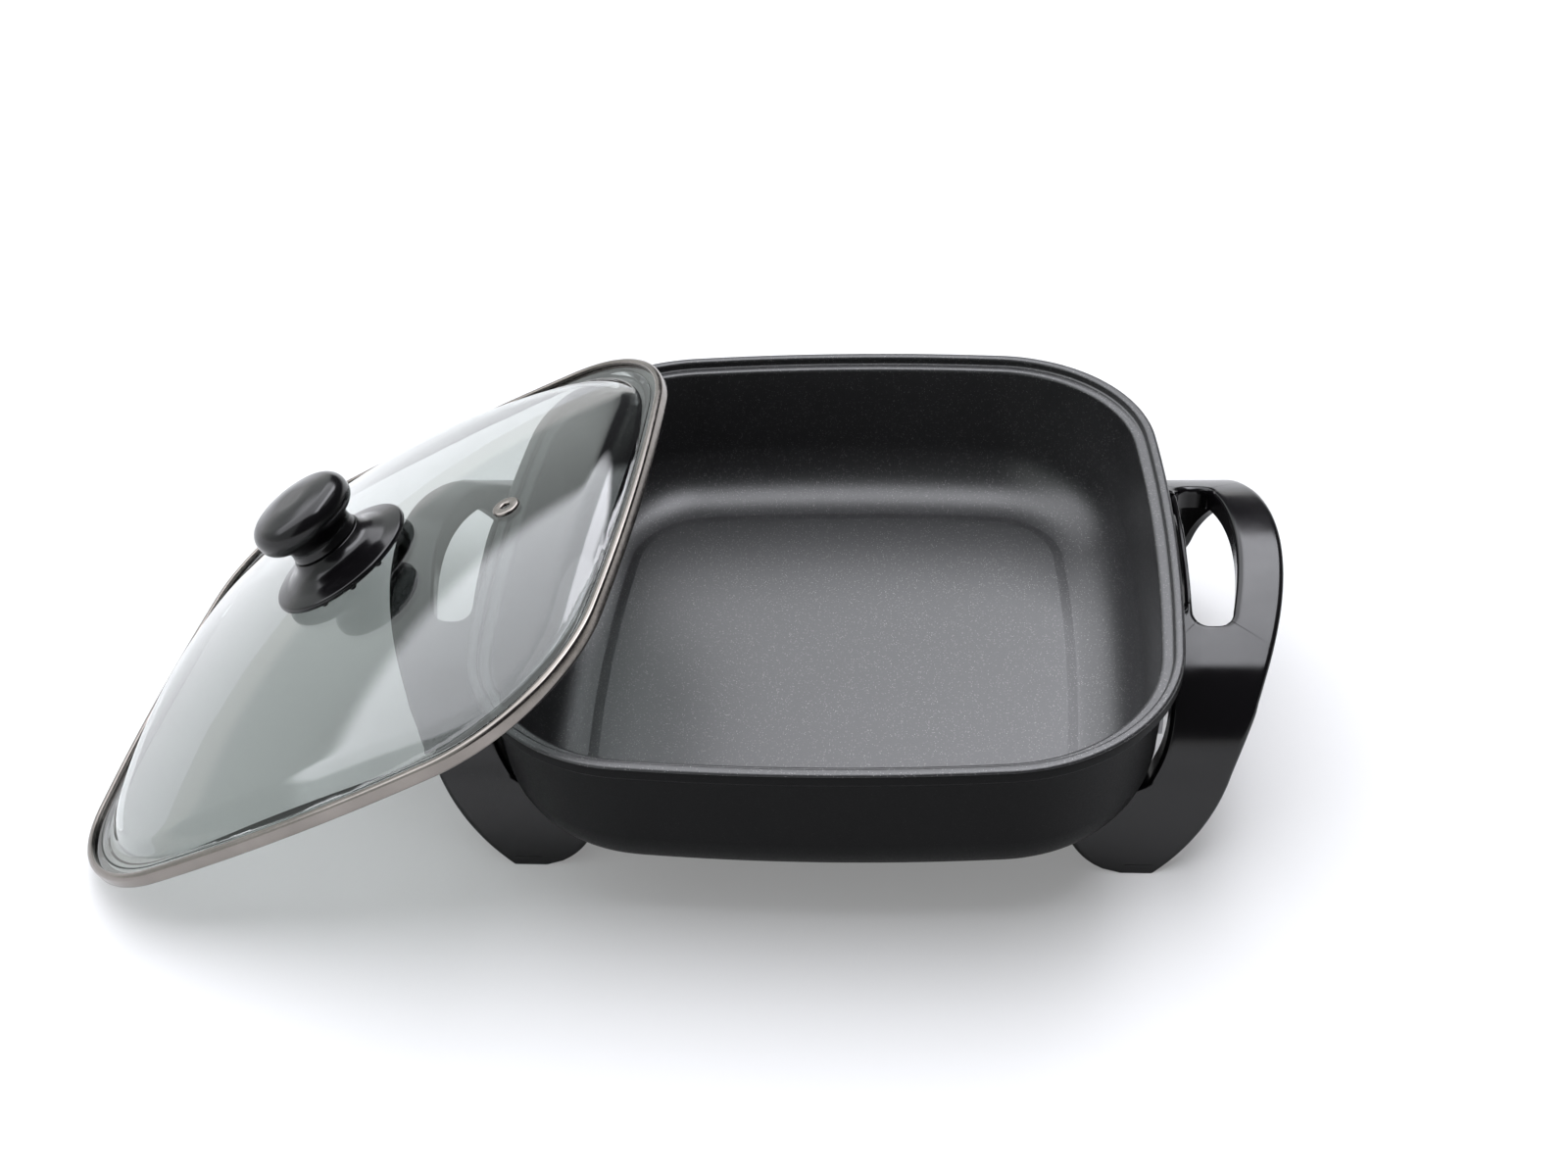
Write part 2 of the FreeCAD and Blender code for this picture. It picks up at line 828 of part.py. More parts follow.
def make_moulding(label, side):
    skin = size("skin")
    whole = moulding_block(label + "_whole", 0.0, size("flange_depth"), 0.0, 0.0)
    core = moulding_block(label + "_core", skin, size("flange_depth") + 6.0, skin, skin)
    walls = prism(label + "_walls", "XY_Plane", opening_outline(size("opening_wall")), "Sizes.rim_height + 20")
    hollow = joined("Cut", label + "_hollow", core, walls)
    channel = joined("Cut", label + "_channel", whole, hollow)
    hole = prism(label + "_hole", "XY_Plane", opening_outline(0.0), "Sizes.rim_height + 20")
    open_channel = joined("Cut", label + "_open", channel, hole)

    tongues = new_body(label + "_tongues")
    sketch = new_sketch(tongues, label + "_tongue_outlines", "XY_Plane",
                        "Sizes.base_height - Sizes.boss_height - Sizes.spacer_thick - Sizes.tongue_thick")
    place = size("screw_place")
    half = size("tongue_half")
    root = beside_rim("instep_out") + 13.0
    for along in (-place, place):
        draw(sketch, [
            (place, along - half),
            (root, along - half),
            (root, along + half),
            (place, along + half),
            Via(place - half, along),
        ])
        circle(sketch, place, along, "Sizes.screw_radius + Sizes.screw_gap")
    pad(tongues, label + "_tongue_pad", sketch, "Sizes.tongue_thick")

    moulding = doc.addObject("Part::Fuse", label)
    moulding.Base = open_channel
    moulding.Tool = tongues
    moulding.Label = label
    if side < 0:
        moulding.Placement = Placement(Vector(0, 0, 0), Rotation(Vector(0, 0, 1), 180))
    return moulding


# Lid, in its own frame: origin at the middle of the band's underside

BAND_HALF = SEAT_HALF - size("lid_gap")
GLASS_HALF = BAND_HALF - size("band_sheet") - size("glass_gap")
FLANGE_LOW = size("band_sheet") + size("glass_gap")
DOME_TOP = size("band_height") + size("dome_height")
DOME_UNDER = DOME_TOP - size("glass_thick")
# The ball's seam is turned away from the joins of the outline's arcs
BALL_SEAM = 37.0
# What stands square on the dome away from its crown is turned about the ball's centre
BALL_CENTRE = Vector(0, 0, DOME_TOP - size("dome_round"))
VENT_ANGLE = math.degrees(math.asin(size("vent_place") / size("dome_round")))
VENT_TURN = Placement(Vector(0, 0, 0), Rotation(Vector(0, 1, 0), VENT_ANGLE), BALL_CENTRE)


def dome_block(label, inset, low):
    """A rounded square prism cut by a large ball, its upper edge rounded. The inset draws it in."""
    body = new_body(label)
    outline = new_sketch(body, label + "_outline", "XY_Plane")
    outline.AttachmentOffset = Placement(Vector(0, 0, low), Rotation())
    rounded_square(outline, GLASS_HALF - size("flange_width") - inset)
    pad(body, label + "_pad", outline, "Sizes.dome_height + Sizes.band_height + 10")
    ball = doc.addObject("Part::Sphere", label + "_ball")
    ball.setExpression("Radius", "Sizes.dome_round - %g" % inset)
    ball.Placement = Placement(Vector(0, 0, 0), Rotation(Vector(0, 0, 1), BALL_SEAM))
    ball.setExpression("Placement.Base.z", "Sizes.dome_height + Sizes.band_height - Sizes.dome_round")
    cut = doc.addObject("Part::Common", label + "_cut")
    cut.Base = body
    cut.Tool = ball
    doc.recompute()
    shoulder = size("dome_shoulder") - inset
    edges = []
    for number, edge in enumerate(cut.Shape.Edges, start=1):
        on_ball = [isinstance(face.Surface, Part.Sphere) for face in cut.Shape.ancestorsOfType(edge, Part.Face)]
        if any(on_ball) and not all(on_ball):
            edges.append((number, shoulder, shoulder))
    rounded = doc.addObject("Part::Fillet", label + "_rounded")
    rounded.Base = cut
    rounded.Edges = edges
    return rounded


def upright(label, radius, height):
    """A plain cylinder on the lid's middle axis."""
    post = doc.addObject("Part::Cylinder", label)
    post.setExpression("Radius", radius)
    post.setExpression("Height", height)
    return post


def make_glass():
    flange = new_body("glass_flange")
    outline = new_sketch(flange, "flange_outline", "XY_Plane", "Sizes.band_sheet + Sizes.glass_gap")
    rounded_square(outline, GLASS_HALF)
    pad(flange, "flange_pad", outline, "Sizes.glass_thick")
    outer = dome_block("dome", 0.0, FLANGE_LOW)
    inner = dome_block("dome_inside", size("glass_thick"), -5.0)
    solid = joined("Fuse", "glass_solid", flange, outer)
    shell = joined("Cut", "glass_shell", solid, inner)
    stud = upright("stud_way", "Sizes.stud_hole", "100")
    plain = joined("Cut", "glass_with_stud_hole", shell, stud)
    vent = upright("vent_way", "Sizes.vent_barrel + Sizes.fit_gap", "100")
    vent.Placement = VENT_TURN
    glass = joined("Cut", "lid_glass", plain, vent)
    return glass


def make_band():
    """A folded strip round the glass edge, swept round the lid."""
    body = new_body("lid_band")
    path = new_sketch(body, "band_path", "XY_Plane")
    rounded_square(path, BAND_HALF)
    section = new_sketch(body, "band_section", "XZ_Plane")
    sheet_thick = size("band_sheet")
    gap = size("glass_gap")
    edge = size("band_edge")
    tall = size("band_height")
    flange_top = FLANGE_LOW + size("glass_thick") + gap
    top_in = BAND_HALF - size("band_top_lip")
    draw(section, [
        (BAND_HALF - size("band_under_lip"), 0.0),
        (BAND_HALF - edge, 0.0),
        (BAND_HALF, edge),
        (BAND_HALF, tall - edge),
        (BAND_HALF - edge, tall),
        (top_in + edge, tall),
        (top_in, tall - edge),
        (top_in, flange_top),
        (BAND_HALF - sheet_thick, flange_top),
        (BAND_HALF - sheet_thick, sheet_thick),
        (BAND_HALF - size("band_under_lip"), sheet_thick),
    ])
    swept(body, "band_wrap", section, path)
    return body


def dome_height_at(away, inset=0.0):
    """Height of the glass's outer face, or inner face with an inset, at a distance from the middle."""
    ball = size("dome_round") - inset
    return BALL_CENTRE.z + math.sqrt(ball ** 2 - away ** 2)


def make_grommet():
    """A steel eyelet: a ring on the glass, a barrel through it and a hole down the middle."""
    top = DOME_TOP + size("fit_gap")
    under = DOME_UNDER - size("fit_gap")
    hole = size("vent_hole")
    ring = size("vent_radius")
    lip = size("vent_lip")
    barrel = size("vent_barrel")
    upper = turned("vent_grommet", [
        (hole, under),
        (barrel, under),
        (barrel, top),
        (ring, top),
        Via(*on_circle((ring - lip, top), lip, 45)),
        (ring - lip, top + lip),
        (hole + lip, top + lip),
        Via(*on_circle((hole + lip, top), lip, 135)),
        (hole, top),
    ])
    lower = turned("vent_back_ring", [
        (barrel + size("fit_gap"), under - lip),
        (ring, under - lip),
        (ring, under),
        (barrel + size("fit_gap"), under),
    ])
    return upper, lower


def make_knob():
    """Skirt, cap, insert, screw and washers, all about the lid's middle axis."""
    seal = size("seal_radius")
    thick = size("seal_thick")
    hole = size("stud_hole")
    seat = DOME_TOP + size("fit_gap")
    upper_seal = turned("seal_upper", [
        (hole, seat),
        (seal, seat),
        (seal, seat + thick),
        (hole, seat + thick),
    ])

    base = seat + thick
    radius = size("skirt_radius")
    neck = size("skirt_neck")
    rim = size("skirt_rim")
    rise = size("skirt_height")
    reach = size("skirt_seat")
    sag = DOME_TOP - dome_height_at(radius)
    lift = base - sag
    skirt = turned("knob_skirt", [
        (hole, base),
        (seal + 1.0, base),
        Via((seal + radius) / 2, lift + rim * 1.3),
        (radius - rim, lift + 1.6),
        (radius - 0.6, lift + 1.6),
        Via(radius, lift + 2.4),
        (radius - 0.4, lift + 1.6 + rim),
        Via(neck + (radius - neck) * 0.42, lift + rise * 0.5),
        (neck, base + rise - 1.0),
        (neck - 0.8, base + rise),
        (reach, base + rise),
        (reach, base + rise + 1.5),
        (hole, base + rise + 1.5),
    ])
    nub = new_sketch(skirt, "nub_ring", "XY_Plane")
    nub.AttachmentOffset = Placement(Vector(0, 0, dome_height_at(size("nub_place")) + size("nub_gap")), Rotation())
    circle(nub, size("nub_place"), 0, "Sizes.nub_radius")
    nub_pad = pad(skirt, "nub", nub, "Sizes.nub_height")
    nubs = skirt.newObject("PartDesign::PolarPattern", "nubs")
    nubs.Originals = [nub_pad]
    nubs.Axis = (nub, ["N_Axis"])
    nubs.Angle = 360
    nubs.setExpression("Occurrences", "Sizes.nub_count")
    skirt.Tip = nubs

    waist = size("waist_radius")
    foot = base + rise + size("fit_gap")
    tall = size("waist_height")
    cap = size("cap_radius")
    cap_rise = size("cap_height")
    insert = size("insert_radius")
    shoulder = size("cap_shoulder")
    middle = foot + tall + shoulder + 1.0
    top = foot + tall + cap_rise
    crown = top - middle
    dome = (cap ** 2 - 2 * cap * shoulder + crown ** 2) / (2 * (crown - shoulder))
    meet = math.degrees(math.atan2(dome - crown, cap - shoulder))
    well = foot + size("insert_length") + 1.5
    knob = turned("knob_cap", [
        (reach + size("fit_gap"), foot),
        (waist, foot),
        Via(waist - 0.9, foot + tall * 0.45),
        (waist + 1.6, foot + tall),
        (cap - shoulder, foot + tall + 1.0),
        Via(*on_circle((cap - shoulder, middle), shoulder, -45)),
        (cap, middle),
        Via(*on_circle((cap - shoulder, middle), shoulder, meet / 2)),
        on_circle((cap - shoulder, middle), shoulder, meet),
        Via(*on_circle((0, top - dome), dome, (90 + meet) / 2)),
        (0, top),
        (0, well + size("fit_gap")),
        (insert + size("fit_gap"), well + size("fit_gap")),
        (insert + size("fit_gap"), base + rise + 1.5 + size("fit_gap")),
        (reach + size("fit_gap"), base + rise + 1.5 + size("fit_gap")),
    ])
    stud = size("stud_radius")
    brass = turned("knob_insert", [
        (stud + size("fit_gap"), base + rise + 1.5),
        (insert, base + rise + 1.5),
        (insert, well),
        (0, well),
        (0, well - 1.5),
        (stud + size("fit_gap"), well - 1.5),
    ])

    below = dome_height_at(seal, size("glass_thick")) - size("fit_gap")
    lower_seal = turned("seal_lower", [
        (hole, below - thick),
        (seal, below - thick),
        (seal, below),
        (hole, below),
    ])
    under = below - thick
    disc = size("washer_radius")
    steel = size("washer_thick")
    washer = turned("steel_washer", [
        (hole, under - steel),
        (disc, under - steel),
        (disc, under),
        (hole, under),
    ])
    seat_z = under - steel
    head = size("stud_head_radius")
    deep = size("stud_head_height")
    end = base + rise + 1.5 + size("stud_bite")
    screw = turned("knob_screw", [
        (0, seat_z - deep),
        (head - 1.4, seat_z - deep),
        (head, seat_z - deep + 1.4),
        (head, seat_z),
        (stud, seat_z),
        (stud, end),
        (0, end),
    ])
    return [upper_seal, skirt, knob, brass, lower_seal, washer, screw]


# Build every piece

pan = make_pan()
element = make_element()
pins = [make_pin("terminal_pin_front", -PIN_Y), make_pin("terminal_pin_back", PIN_Y)]
insulators = [make_insulator("insulator_front", -PIN_Y), make_insulator("insulator_back", PIN_Y)]
sleeve = make_sleeve()
guard = make_guard()
guard_screws = [make_guard_screw("guard_screw_front", -1), make_guard_screw("guard_screw_back", 1)]

corners = {
    "front_right": (1, -1),
    "back_right": (1, 1),
    "front_left": (-1, -1),
    "back_left": (-1, 1),
}
fasteners = []
for place_name, (side_x, side_y) in corners.items():
    across = side_x * size("screw_place")
    along = side_y * size("screw_place")
    fasteners.append(make_spacer("spacer_" + place_name, across, along))
    fasteners.append(make_screw("handle_screw_" + place_name, across, along))

right = make_moulding("handle_right", 1)
left = make_moulding("handle_left", -1)

glass = make_glass()
band = make_band()
vent = list(make_grommet())
knob_pieces = make_knob()
doc.recompute()


def stop_on_failure():
    """Every object of the document has to have built."""
    failed = ["%s %s" % (item.Name, item.State) for item in doc.Objects
              if "Invalid" in item.State or "Error" in item.State]
    if failed:
        raise RuntimeError("did not build: " + "; ".join(failed))


stop_on_failure()

# Lean the lid: low edge on the surface, underside on the left handle and the pan's rim


def lid_placement(degrees):
    """The lid turned a little about Z, tipped about Y and set down on its low edge."""
    turn = Rotation(Vector(0, 0, 1), -size("lid_turn"))
    tip = Rotation(Vector(0, 1, 0), -degrees)
    both = turn.multiply(tip)
    low = both.multVec(Vector(-BAND_HALF, 0, 0))
    tilt = math.radians(degrees)
    round_off = size("band_edge") * (math.sin(tilt) + math.cos(tilt) - 1)
    base = Vector(-size("lid_low_edge"), -size("lid_shift"), size("rest_gap") - round_off)
    return Placement(base - low, both)


lid_shell = Part.makeCompound([glass.Shape, band.Shape])
rests = Part.makeCompound([left.Shape, pan.Shape])
shallow, steep = 26.0, 30.0
for attempt in range(9):
    lean = (shallow + steep) / 2
    trial = lid_shell.copy()
    trial.Placement = lid_placement(lean)
    distance = trial.distToShape(rests)[0]
    if distance < size("rest_gap"):
        shallow = lean
    else:
        steep = lean
print("lid leans at %.3f degrees" % steep)

resting = lid_placement(steep)
for piece in [glass, band] + knob_pieces:
    piece.Placement = resting
for piece in vent:
    piece.Placement = resting.multiply(VENT_TURN)
doc.recompute()

# Check and write the pieces

pieces = [pan, element] + pins + insulators + [sleeve, guard] + guard_screws + fasteners
pieces += [right, left, glass, band] + vent + knob_pieces

stop_on_failure()
for piece in pieces:
    if piece.Shape.isNull() or not piece.Shape.isValid():
        raise RuntimeError("%s has no valid shape" % piece.Label)

os.makedirs("parts", exist_ok=True)
for piece in pieces:
    piece.Shape.exportStep(os.path.join("parts", piece.Label + ".step"))
    box = piece.Shape.BoundBox
    print("%-26s %d solid(s) %10.1f mm3  x %.1f..%.1f  y %.1f..%.1f  z %.1f..%.1f" % (
        piece.Label, len(piece.Shape.Solids), piece.Shape.Volume,
        box.XMin, box.XMax, box.YMin, box.YMax, box.ZMin, box.ZMax))
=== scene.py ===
# Electric skillet: a square non-stick pan on two black handle-and-leg mouldings, its glass lid leaning on
# one. Lengths are millimetres in the solids' own frame and become metres when a mesh is made. The places of
# the camera, the floor and the lamp are in metres.

import json

import bmesh
import bpy
import numpy as np
from mathutils import Matrix


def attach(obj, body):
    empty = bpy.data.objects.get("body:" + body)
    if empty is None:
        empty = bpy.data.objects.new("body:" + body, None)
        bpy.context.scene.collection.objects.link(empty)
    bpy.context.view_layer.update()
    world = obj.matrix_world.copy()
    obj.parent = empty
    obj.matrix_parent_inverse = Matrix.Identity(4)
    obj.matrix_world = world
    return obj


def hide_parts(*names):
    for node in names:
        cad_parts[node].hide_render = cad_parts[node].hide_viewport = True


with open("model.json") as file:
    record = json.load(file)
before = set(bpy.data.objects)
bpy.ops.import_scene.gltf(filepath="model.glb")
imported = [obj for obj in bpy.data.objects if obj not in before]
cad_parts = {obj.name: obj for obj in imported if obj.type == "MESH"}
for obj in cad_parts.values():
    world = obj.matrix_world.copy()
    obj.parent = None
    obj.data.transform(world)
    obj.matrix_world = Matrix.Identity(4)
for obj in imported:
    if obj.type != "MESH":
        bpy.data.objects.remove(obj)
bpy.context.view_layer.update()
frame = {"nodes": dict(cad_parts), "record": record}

# Camera
# Stands in front, a little to the right of the middle, and looks down into the pan. Its place and aim were
# solved from the rim, the feet and the lid's band in the photograph.

camera_data = bpy.data.cameras.new("camera")
camera_data.sensor_width = 36.0
camera_data.lens = 43.6
camera = bpy.data.objects.new("camera", camera_data)
camera_right = (0.99578, 0.07175, -0.05730)
camera_up = (-0.00079, 0.63069, 0.77603)
camera_back = (0.09182, -0.77271, 0.62808)
camera_place = (0.05786, -0.68405, 0.63096)
camera_columns = (camera_right, camera_up, camera_back, camera_place)
camera_rows = [[column[axis] for column in camera_columns] for axis in range(3)]
camera.matrix_world = Matrix(camera_rows + [(0, 0, 0, 1)])
bpy.context.scene.collection.objects.link(camera)
bpy.context.scene.camera = camera

# Pan
# One die casting in aluminium: deep round-cornered square with a stepped rim that the lid sits in.
# Sprayed with speckled charcoal non-stick inside and with satin black outside, then baked.

RIM_HALF = 155.0
RIM_TOP = 106.0
RIM_UNDER = 99.5
RIM_LEDGE = 102.0
RIM_INNER = 150.5
SIDE_ROUND = 960.0
CORNER_ROUND = 80.0
PAN_BASE = 28.0
PAN_FLOOR = 33.0
RAISED_FLOOR = 33.8
WALL_LOW = 144.0
WALL_HIGH = 149.0
BASE_ROUND = 31.0
INNER_HALF = 100.0
SHARP = np.radians(38)


def corner_place():
    """How far a corner arc's centre lies from both axes. A corner arc and a side arc meet where they have
    the same direction, so their centres are SIDE_ROUND - CORNER_ROUND apart."""
    lean = RIM_HALF - SIDE_ROUND
    between = SIDE_ROUND - CORNER_ROUND
    return (lean + np.sqrt(2 * between ** 2 - lean ** 2)) / 2


def rim_outline():
    """The rim seen from above, as points and outward directions: four long side arcs, whose centres lie
    on the axes, and four corner arcs, whose centres lie on the diagonals."""
    side_steps = 18
    corner_steps = 30
    lean = RIM_HALF - SIDE_ROUND
    spread = corner_place()
    turn = np.arctan2(spread, spread - lean)
    points = []
    directions = []
    for quarter in np.arange(4) * np.pi / 2:
        sides = quarter + np.linspace(-turn, turn, side_steps, endpoint=False)
        corners = quarter + np.linspace(turn, np.pi / 2 - turn, corner_steps, endpoint=False)
        middle = np.array([np.cos(quarter), np.sin(quarter)]) * lean
        diagonal = np.array([np.cos(quarter) - np.sin(quarter), np.cos(quarter) + np.sin(quarter)]) * spread
        for angles, centre, radius in ((sides, middle, SIDE_ROUND), (corners, diagonal, CORNER_ROUND)):
            direction = np.stack([np.cos(angles), np.sin(angles)], axis=1)
            points.append(centre + direction * radius)
            directions.append(direction)
    return np.concatenate(points), np.concatenate(directions)


def rounded_line(points, radii, steps):
    """A line whose corners are arcs. Each arc touches its two runs at radius / tan(half the corner's angle)
    from the corner, and its centre lies on the corner's bisector at radius / sin(half the angle)."""
    points = np.array(points, float)
    pieces = []
    for index, radius in enumerate(radii):
        here = points[index]
        if radius == 0:
            pieces.append(here[None])
            continue
        back = points[index - 1] - here
        ahead = points[(index + 1) % len(points)] - here
        back /= np.linalg.norm(back)
        ahead /= np.linalg.norm(ahead)
        half = np.arccos(np.clip(back @ ahead, -1, 1)) / 2
        bisector = (back + ahead) / np.linalg.norm(back + ahead)
        centre = here + bisector * radius / np.sin(half)
        start = here + back * radius / np.tan(half) - centre
        end = here + ahead * radius / np.tan(half) - centre
        sweep = np.arccos(np.clip(start @ end / radius ** 2, -1, 1))
        share = np.linspace(0, 1, steps)[:, None]
        arc = (np.sin((1 - share) * sweep) * start + np.sin(share * sweep) * end) / np.sin(sweep)
        pieces.append(centre + arc)
    return np.concatenate(pieces)


def round_rim(profile):
    """The profile's (half width, height) points carried round the rim. Outside INNER_HALF a half width is
    an offset of the outline; inside it, the loop at INNER_HALF is scaled down towards the middle."""
    base, outward = rim_outline()
    half = profile[:, 0][:, None, None]
    offset = base + outward * (np.maximum(half, INNER_HALF) - RIM_HALF)
    flat = offset * np.minimum(half / INNER_HALF, 1.0)
    height = np.broadcast_to(profile[:, 1][:, None, None], flat.shape[:2] + (1,))
    return np.concatenate([flat, height], axis=2)


def skin(name, grid, body, materials, loop=False, row_slots=None):
    """A mesh whose rows are closed loops of points, joined by four-sided faces. With loop, the last row
    meets the first; without it, a fan to the loop's middle closes each end. Faces are turned to point
    outwards by the sign of the volume they enclose. Row slots give each row's number among materials."""
    rows, columns = grid.shape[:2]
    vertices = grid.reshape(-1, 3)
    row = np.arange(rows if loop else rows - 1)[:, None]
    column = np.arange(columns)[None]
    right = (column + 1) % columns
    above = (row + 1) % rows
    faces = np.stack([row * columns + column, row * columns + right,
                      above * columns + right, above * columns + column], axis=2).reshape(-1, 4)
    fans = np.zeros((0, 3), int)
    if not loop:
        ring = np.arange(columns)
        first = np.stack([ring, np.full(columns, len(vertices)), (ring + 1) % columns], axis=1)
        top = (rows - 1) * columns
        last = np.stack([top + ring, top + (ring + 1) % columns, np.full(columns, len(vertices) + 1)], axis=1)
        fans = np.concatenate([first, last])
        vertices = np.concatenate([vertices, grid[0].mean(0)[None], grid[-1].mean(0)[None]])
    triangles = np.concatenate([faces[:, [0, 1, 2]], faces[:, [0, 2, 3]], fans])
    a, b, c = (vertices[triangles[:, corner]] for corner in range(3))
    if np.einsum("ij,ij->i", a, np.cross(b, c)).sum() < 0:
        faces = faces[:, ::-1]
        fans = fans[:, ::-1]
    mesh = bpy.data.meshes.new(name)
    mesh.from_pydata(vertices * 0.001, [], faces.tolist() + fans.tolist())
    for material in materials:
        mesh.materials.append(material)
    if row_slots is not None:
        slots = np.repeat(np.asarray(row_slots)[row[:, 0]], columns)
        ends = np.repeat([row_slots[0], row_slots[-1]], columns)
        mesh.polygons.foreach_set("material_index", np.concatenate([slots, ends]).astype(np.int32))
    mesh.shade_smooth()
    mesh.set_sharp_from_angle(angle=SHARP)
    piece = bpy.data.objects.new(name, mesh)
    bpy.context.scene.collection.objects.link(piece)
    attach(piece, body)
    return piece


def finish(name, colour, roughness, metallic=0.0):
    """A material with its main shader, and add, which makes a node, sets its values and joins its sockets
    by name. The patterns are read at the point's place on the object."""
    material = bpy.data.materials.new(name)
    material.use_nodes = True
    tree = material.node_tree
    shader = tree.nodes["Principled BSDF"]
    shader.inputs["Base Color"].default_value = (*colour, 1.0)
    shader.inputs["Roughness"].default_value = roughness
    shader.inputs["Metallic"].default_value = metallic
    coordinates = tree.nodes.new("ShaderNodeTexCoord")

    def add(kind, values=None, joins=None, **settings):
        """A node of this kind, with its settings and values set and its inputs joined to their sources."""
        node = tree.nodes.new("ShaderNode" + kind)
        for key, value in settings.items():
            setattr(node, key, value)
        for key, value in (values or {}).items():
            node.inputs[key].default_value = value
        for key, source in (joins or {}).items():
            tree.links.new(source, node.inputs[key])
        return node

    add.place = coordinates.outputs["Object"]
    add.join = tree.links.new
    return material, shader, add


def sprayed(name, colour, fleck, fleck_share, roughness, grain, shine):
    """Baked spray coat: base colour, flecks in the middle of the cells whose random number is among the
    highest fleck_share, and a fine pebbled bump. Scales are in cells per metre."""
    material, shader, add = finish(name, colour, roughness)
    shader.inputs["Specular IOR Level"].default_value = shine
    cells = add("TexVoronoi", {"Scale": 1900.0}, {"Vector": add.place})
    number = add("SeparateColor", None, {"Color": cells.outputs["Color"]})
    chosen = add("MapRange", {"From Min": 1 - fleck_share, "From Max": 1 - fleck_share * 0.6},
                 {"Value": number.outputs["Red"]})
    near = add("MapRange", {"From Min": 0.42, "From Max": 0.15}, {"Value": cells.outputs["Distance"]})
    shown = add("Math", None, {0: chosen.outputs["Result"], 1: near.outputs["Result"]}, operation="MULTIPLY")
    clouds = add("TexNoise", {"Scale": 14.0, "Detail": 3.0}, {"Vector": add.place})
    tone = add("MapRange", {"From Min": 0.3, "From Max": 0.7, "To Min": 0.86, "To Max": 1.14},
               {"Value": clouds.outputs["Fac"]})
    toned = add("VectorMath", {0: colour}, {"Scale": tone.outputs["Result"]}, operation="SCALE")
    mixed = add("Mix", {"B": (*fleck, 1.0)}, {"Factor": shown.outputs["Value"], "A": toned.outputs["Vector"]},
                data_type="RGBA")
    add.join(mixed.outputs["Result"], shader.inputs["Base Color"])
    pebbles = add("TexNoise", {"Scale": 1300.0, "Detail": 2.0, "Roughness": 0.6}, {"Vector": add.place})
    gloss = add("MapRange", {"From Min": 0.3, "From Max": 0.7,
                             "To Min": roughness - 0.05, "To Max": roughness + 0.06},
                {"Value": pebbles.outputs["Fac"]})
    add.join(gloss.outputs["Result"], shader.inputs["Roughness"])
    bump = add("Bump", {"Strength": grain, "Distance": 0.0002}, {"Height": pebbles.outputs["Fac"]})
    add.join(bump.outputs["Normal"], shader.inputs["Normal"])
    return material


non_stick = sprayed("non_stick", (0.012, 0.012, 0.013), (0.32, 0.314, 0.308), 0.16, 0.37, 0.38, 0.93)
outside_black = sprayed("outside_black", (0.0045, 0.0045, 0.0048), (0.02, 0.02, 0.02), 0.08, 0.46, 0.16, 0.08)

# Each corner: half width, height and radius, from the middle of the base round the rim to the raised floor.
pan_corners = [
    (INNER_HALF, PAN_BASE, 0),
    (WALL_LOW, PAN_BASE, BASE_ROUND),
    (WALL_HIGH, RIM_UNDER, 1.6),
    (RIM_HALF, RIM_UNDER, 1.5),
    (RIM_HALF, RIM_TOP, 1.6),
    (RIM_INNER, RIM_TOP, 1.3),
    (RIM_INNER, RIM_LEDGE, 1.0),
    (145.3, RIM_LEDGE, 1.8),
    (140.0, PAN_FLOOR, 28.0),
    (113.2, PAN_FLOOR, 4.0),
    (108.2, RAISED_FLOOR, 4.0),
    (INNER_HALF, RAISED_FLOOR, 0),
]
pan_line = [corner[:2] for corner in pan_corners]
pan_rounds = [corner[2] for corner in pan_corners]
inner_rows = np.linspace(4.0, 96.0, 12)
under = np.stack([inner_rows, np.full_like(inner_rows, PAN_BASE)], axis=1)
over = np.stack([inner_rows[::-1], np.full_like(inner_rows, RAISED_FLOOR)], axis=1)
pan_profile = np.concatenate([under, rounded_line(pan_line, pan_rounds, steps=9), over])
lip_row = int(np.argmax(pan_profile[:, 0] * (pan_profile[:, 1] > RIM_TOP - 1.0)))
pan_slots = [1 if row < lip_row else 0 for row in range(len(pan_profile))]
pan = skin("pan_casting", round_rim(pan_profile), "skillet", [non_stick, outside_black], row_slots=pan_slots)
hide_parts("pan")

# Ribs, bosses and saddle under the pan
# Cast with the pan: a grooved rib that clips round the heating element, four screw bosses and a saddle
# over the probe sleeve, all under the same black spray coat.

ELEMENT_HEIGHT = 22.0
ELEMENT_HALF = 80.0
ELEMENT_END = 118.0
PIN_PLACE = 12.7
SLEEVE_HEIGHT = 21.0
SLEEVE_START = 58.0
SCREW_PLACE = 91.0
BOSS_SEAT = 20.0
BOSS_HOLE = 2.2
BOSS_RADIUS = 7.0


def carried(section, path, height):
    """A closed section carried along a flat path: at each point it stands square to the path's direction,
    its first number measured to the left of travel and its second upwards."""
    ahead = np.gradient(path, axis=0)
    ahead /= np.linalg.norm(ahead, axis=1)[:, None]
    left = np.stack([-ahead[:, 1], ahead[:, 0]], axis=1)
    flat = path[:, None, :] + left[:, None, :] * section[None, :, :1]
    tall = np.broadcast_to(section[None, :, 1:] + height, flat.shape[:2] + (1,))
    return np.concatenate([flat, tall], axis=2)


def grooved(half, groove, depth):
    """A bar's section with a half-round groove in its underside."""
    angle = np.linspace(np.pi, 0, 13)
    groove_line = np.stack([np.cos(angle), np.sin(angle)], axis=1) * groove
    return np.concatenate([[(-half, depth), (-half, 0.4), (-half + 0.4, 0.0)], groove_line,
                           [(half - 0.4, 0.0), (half, 0.4), (half, depth)]])


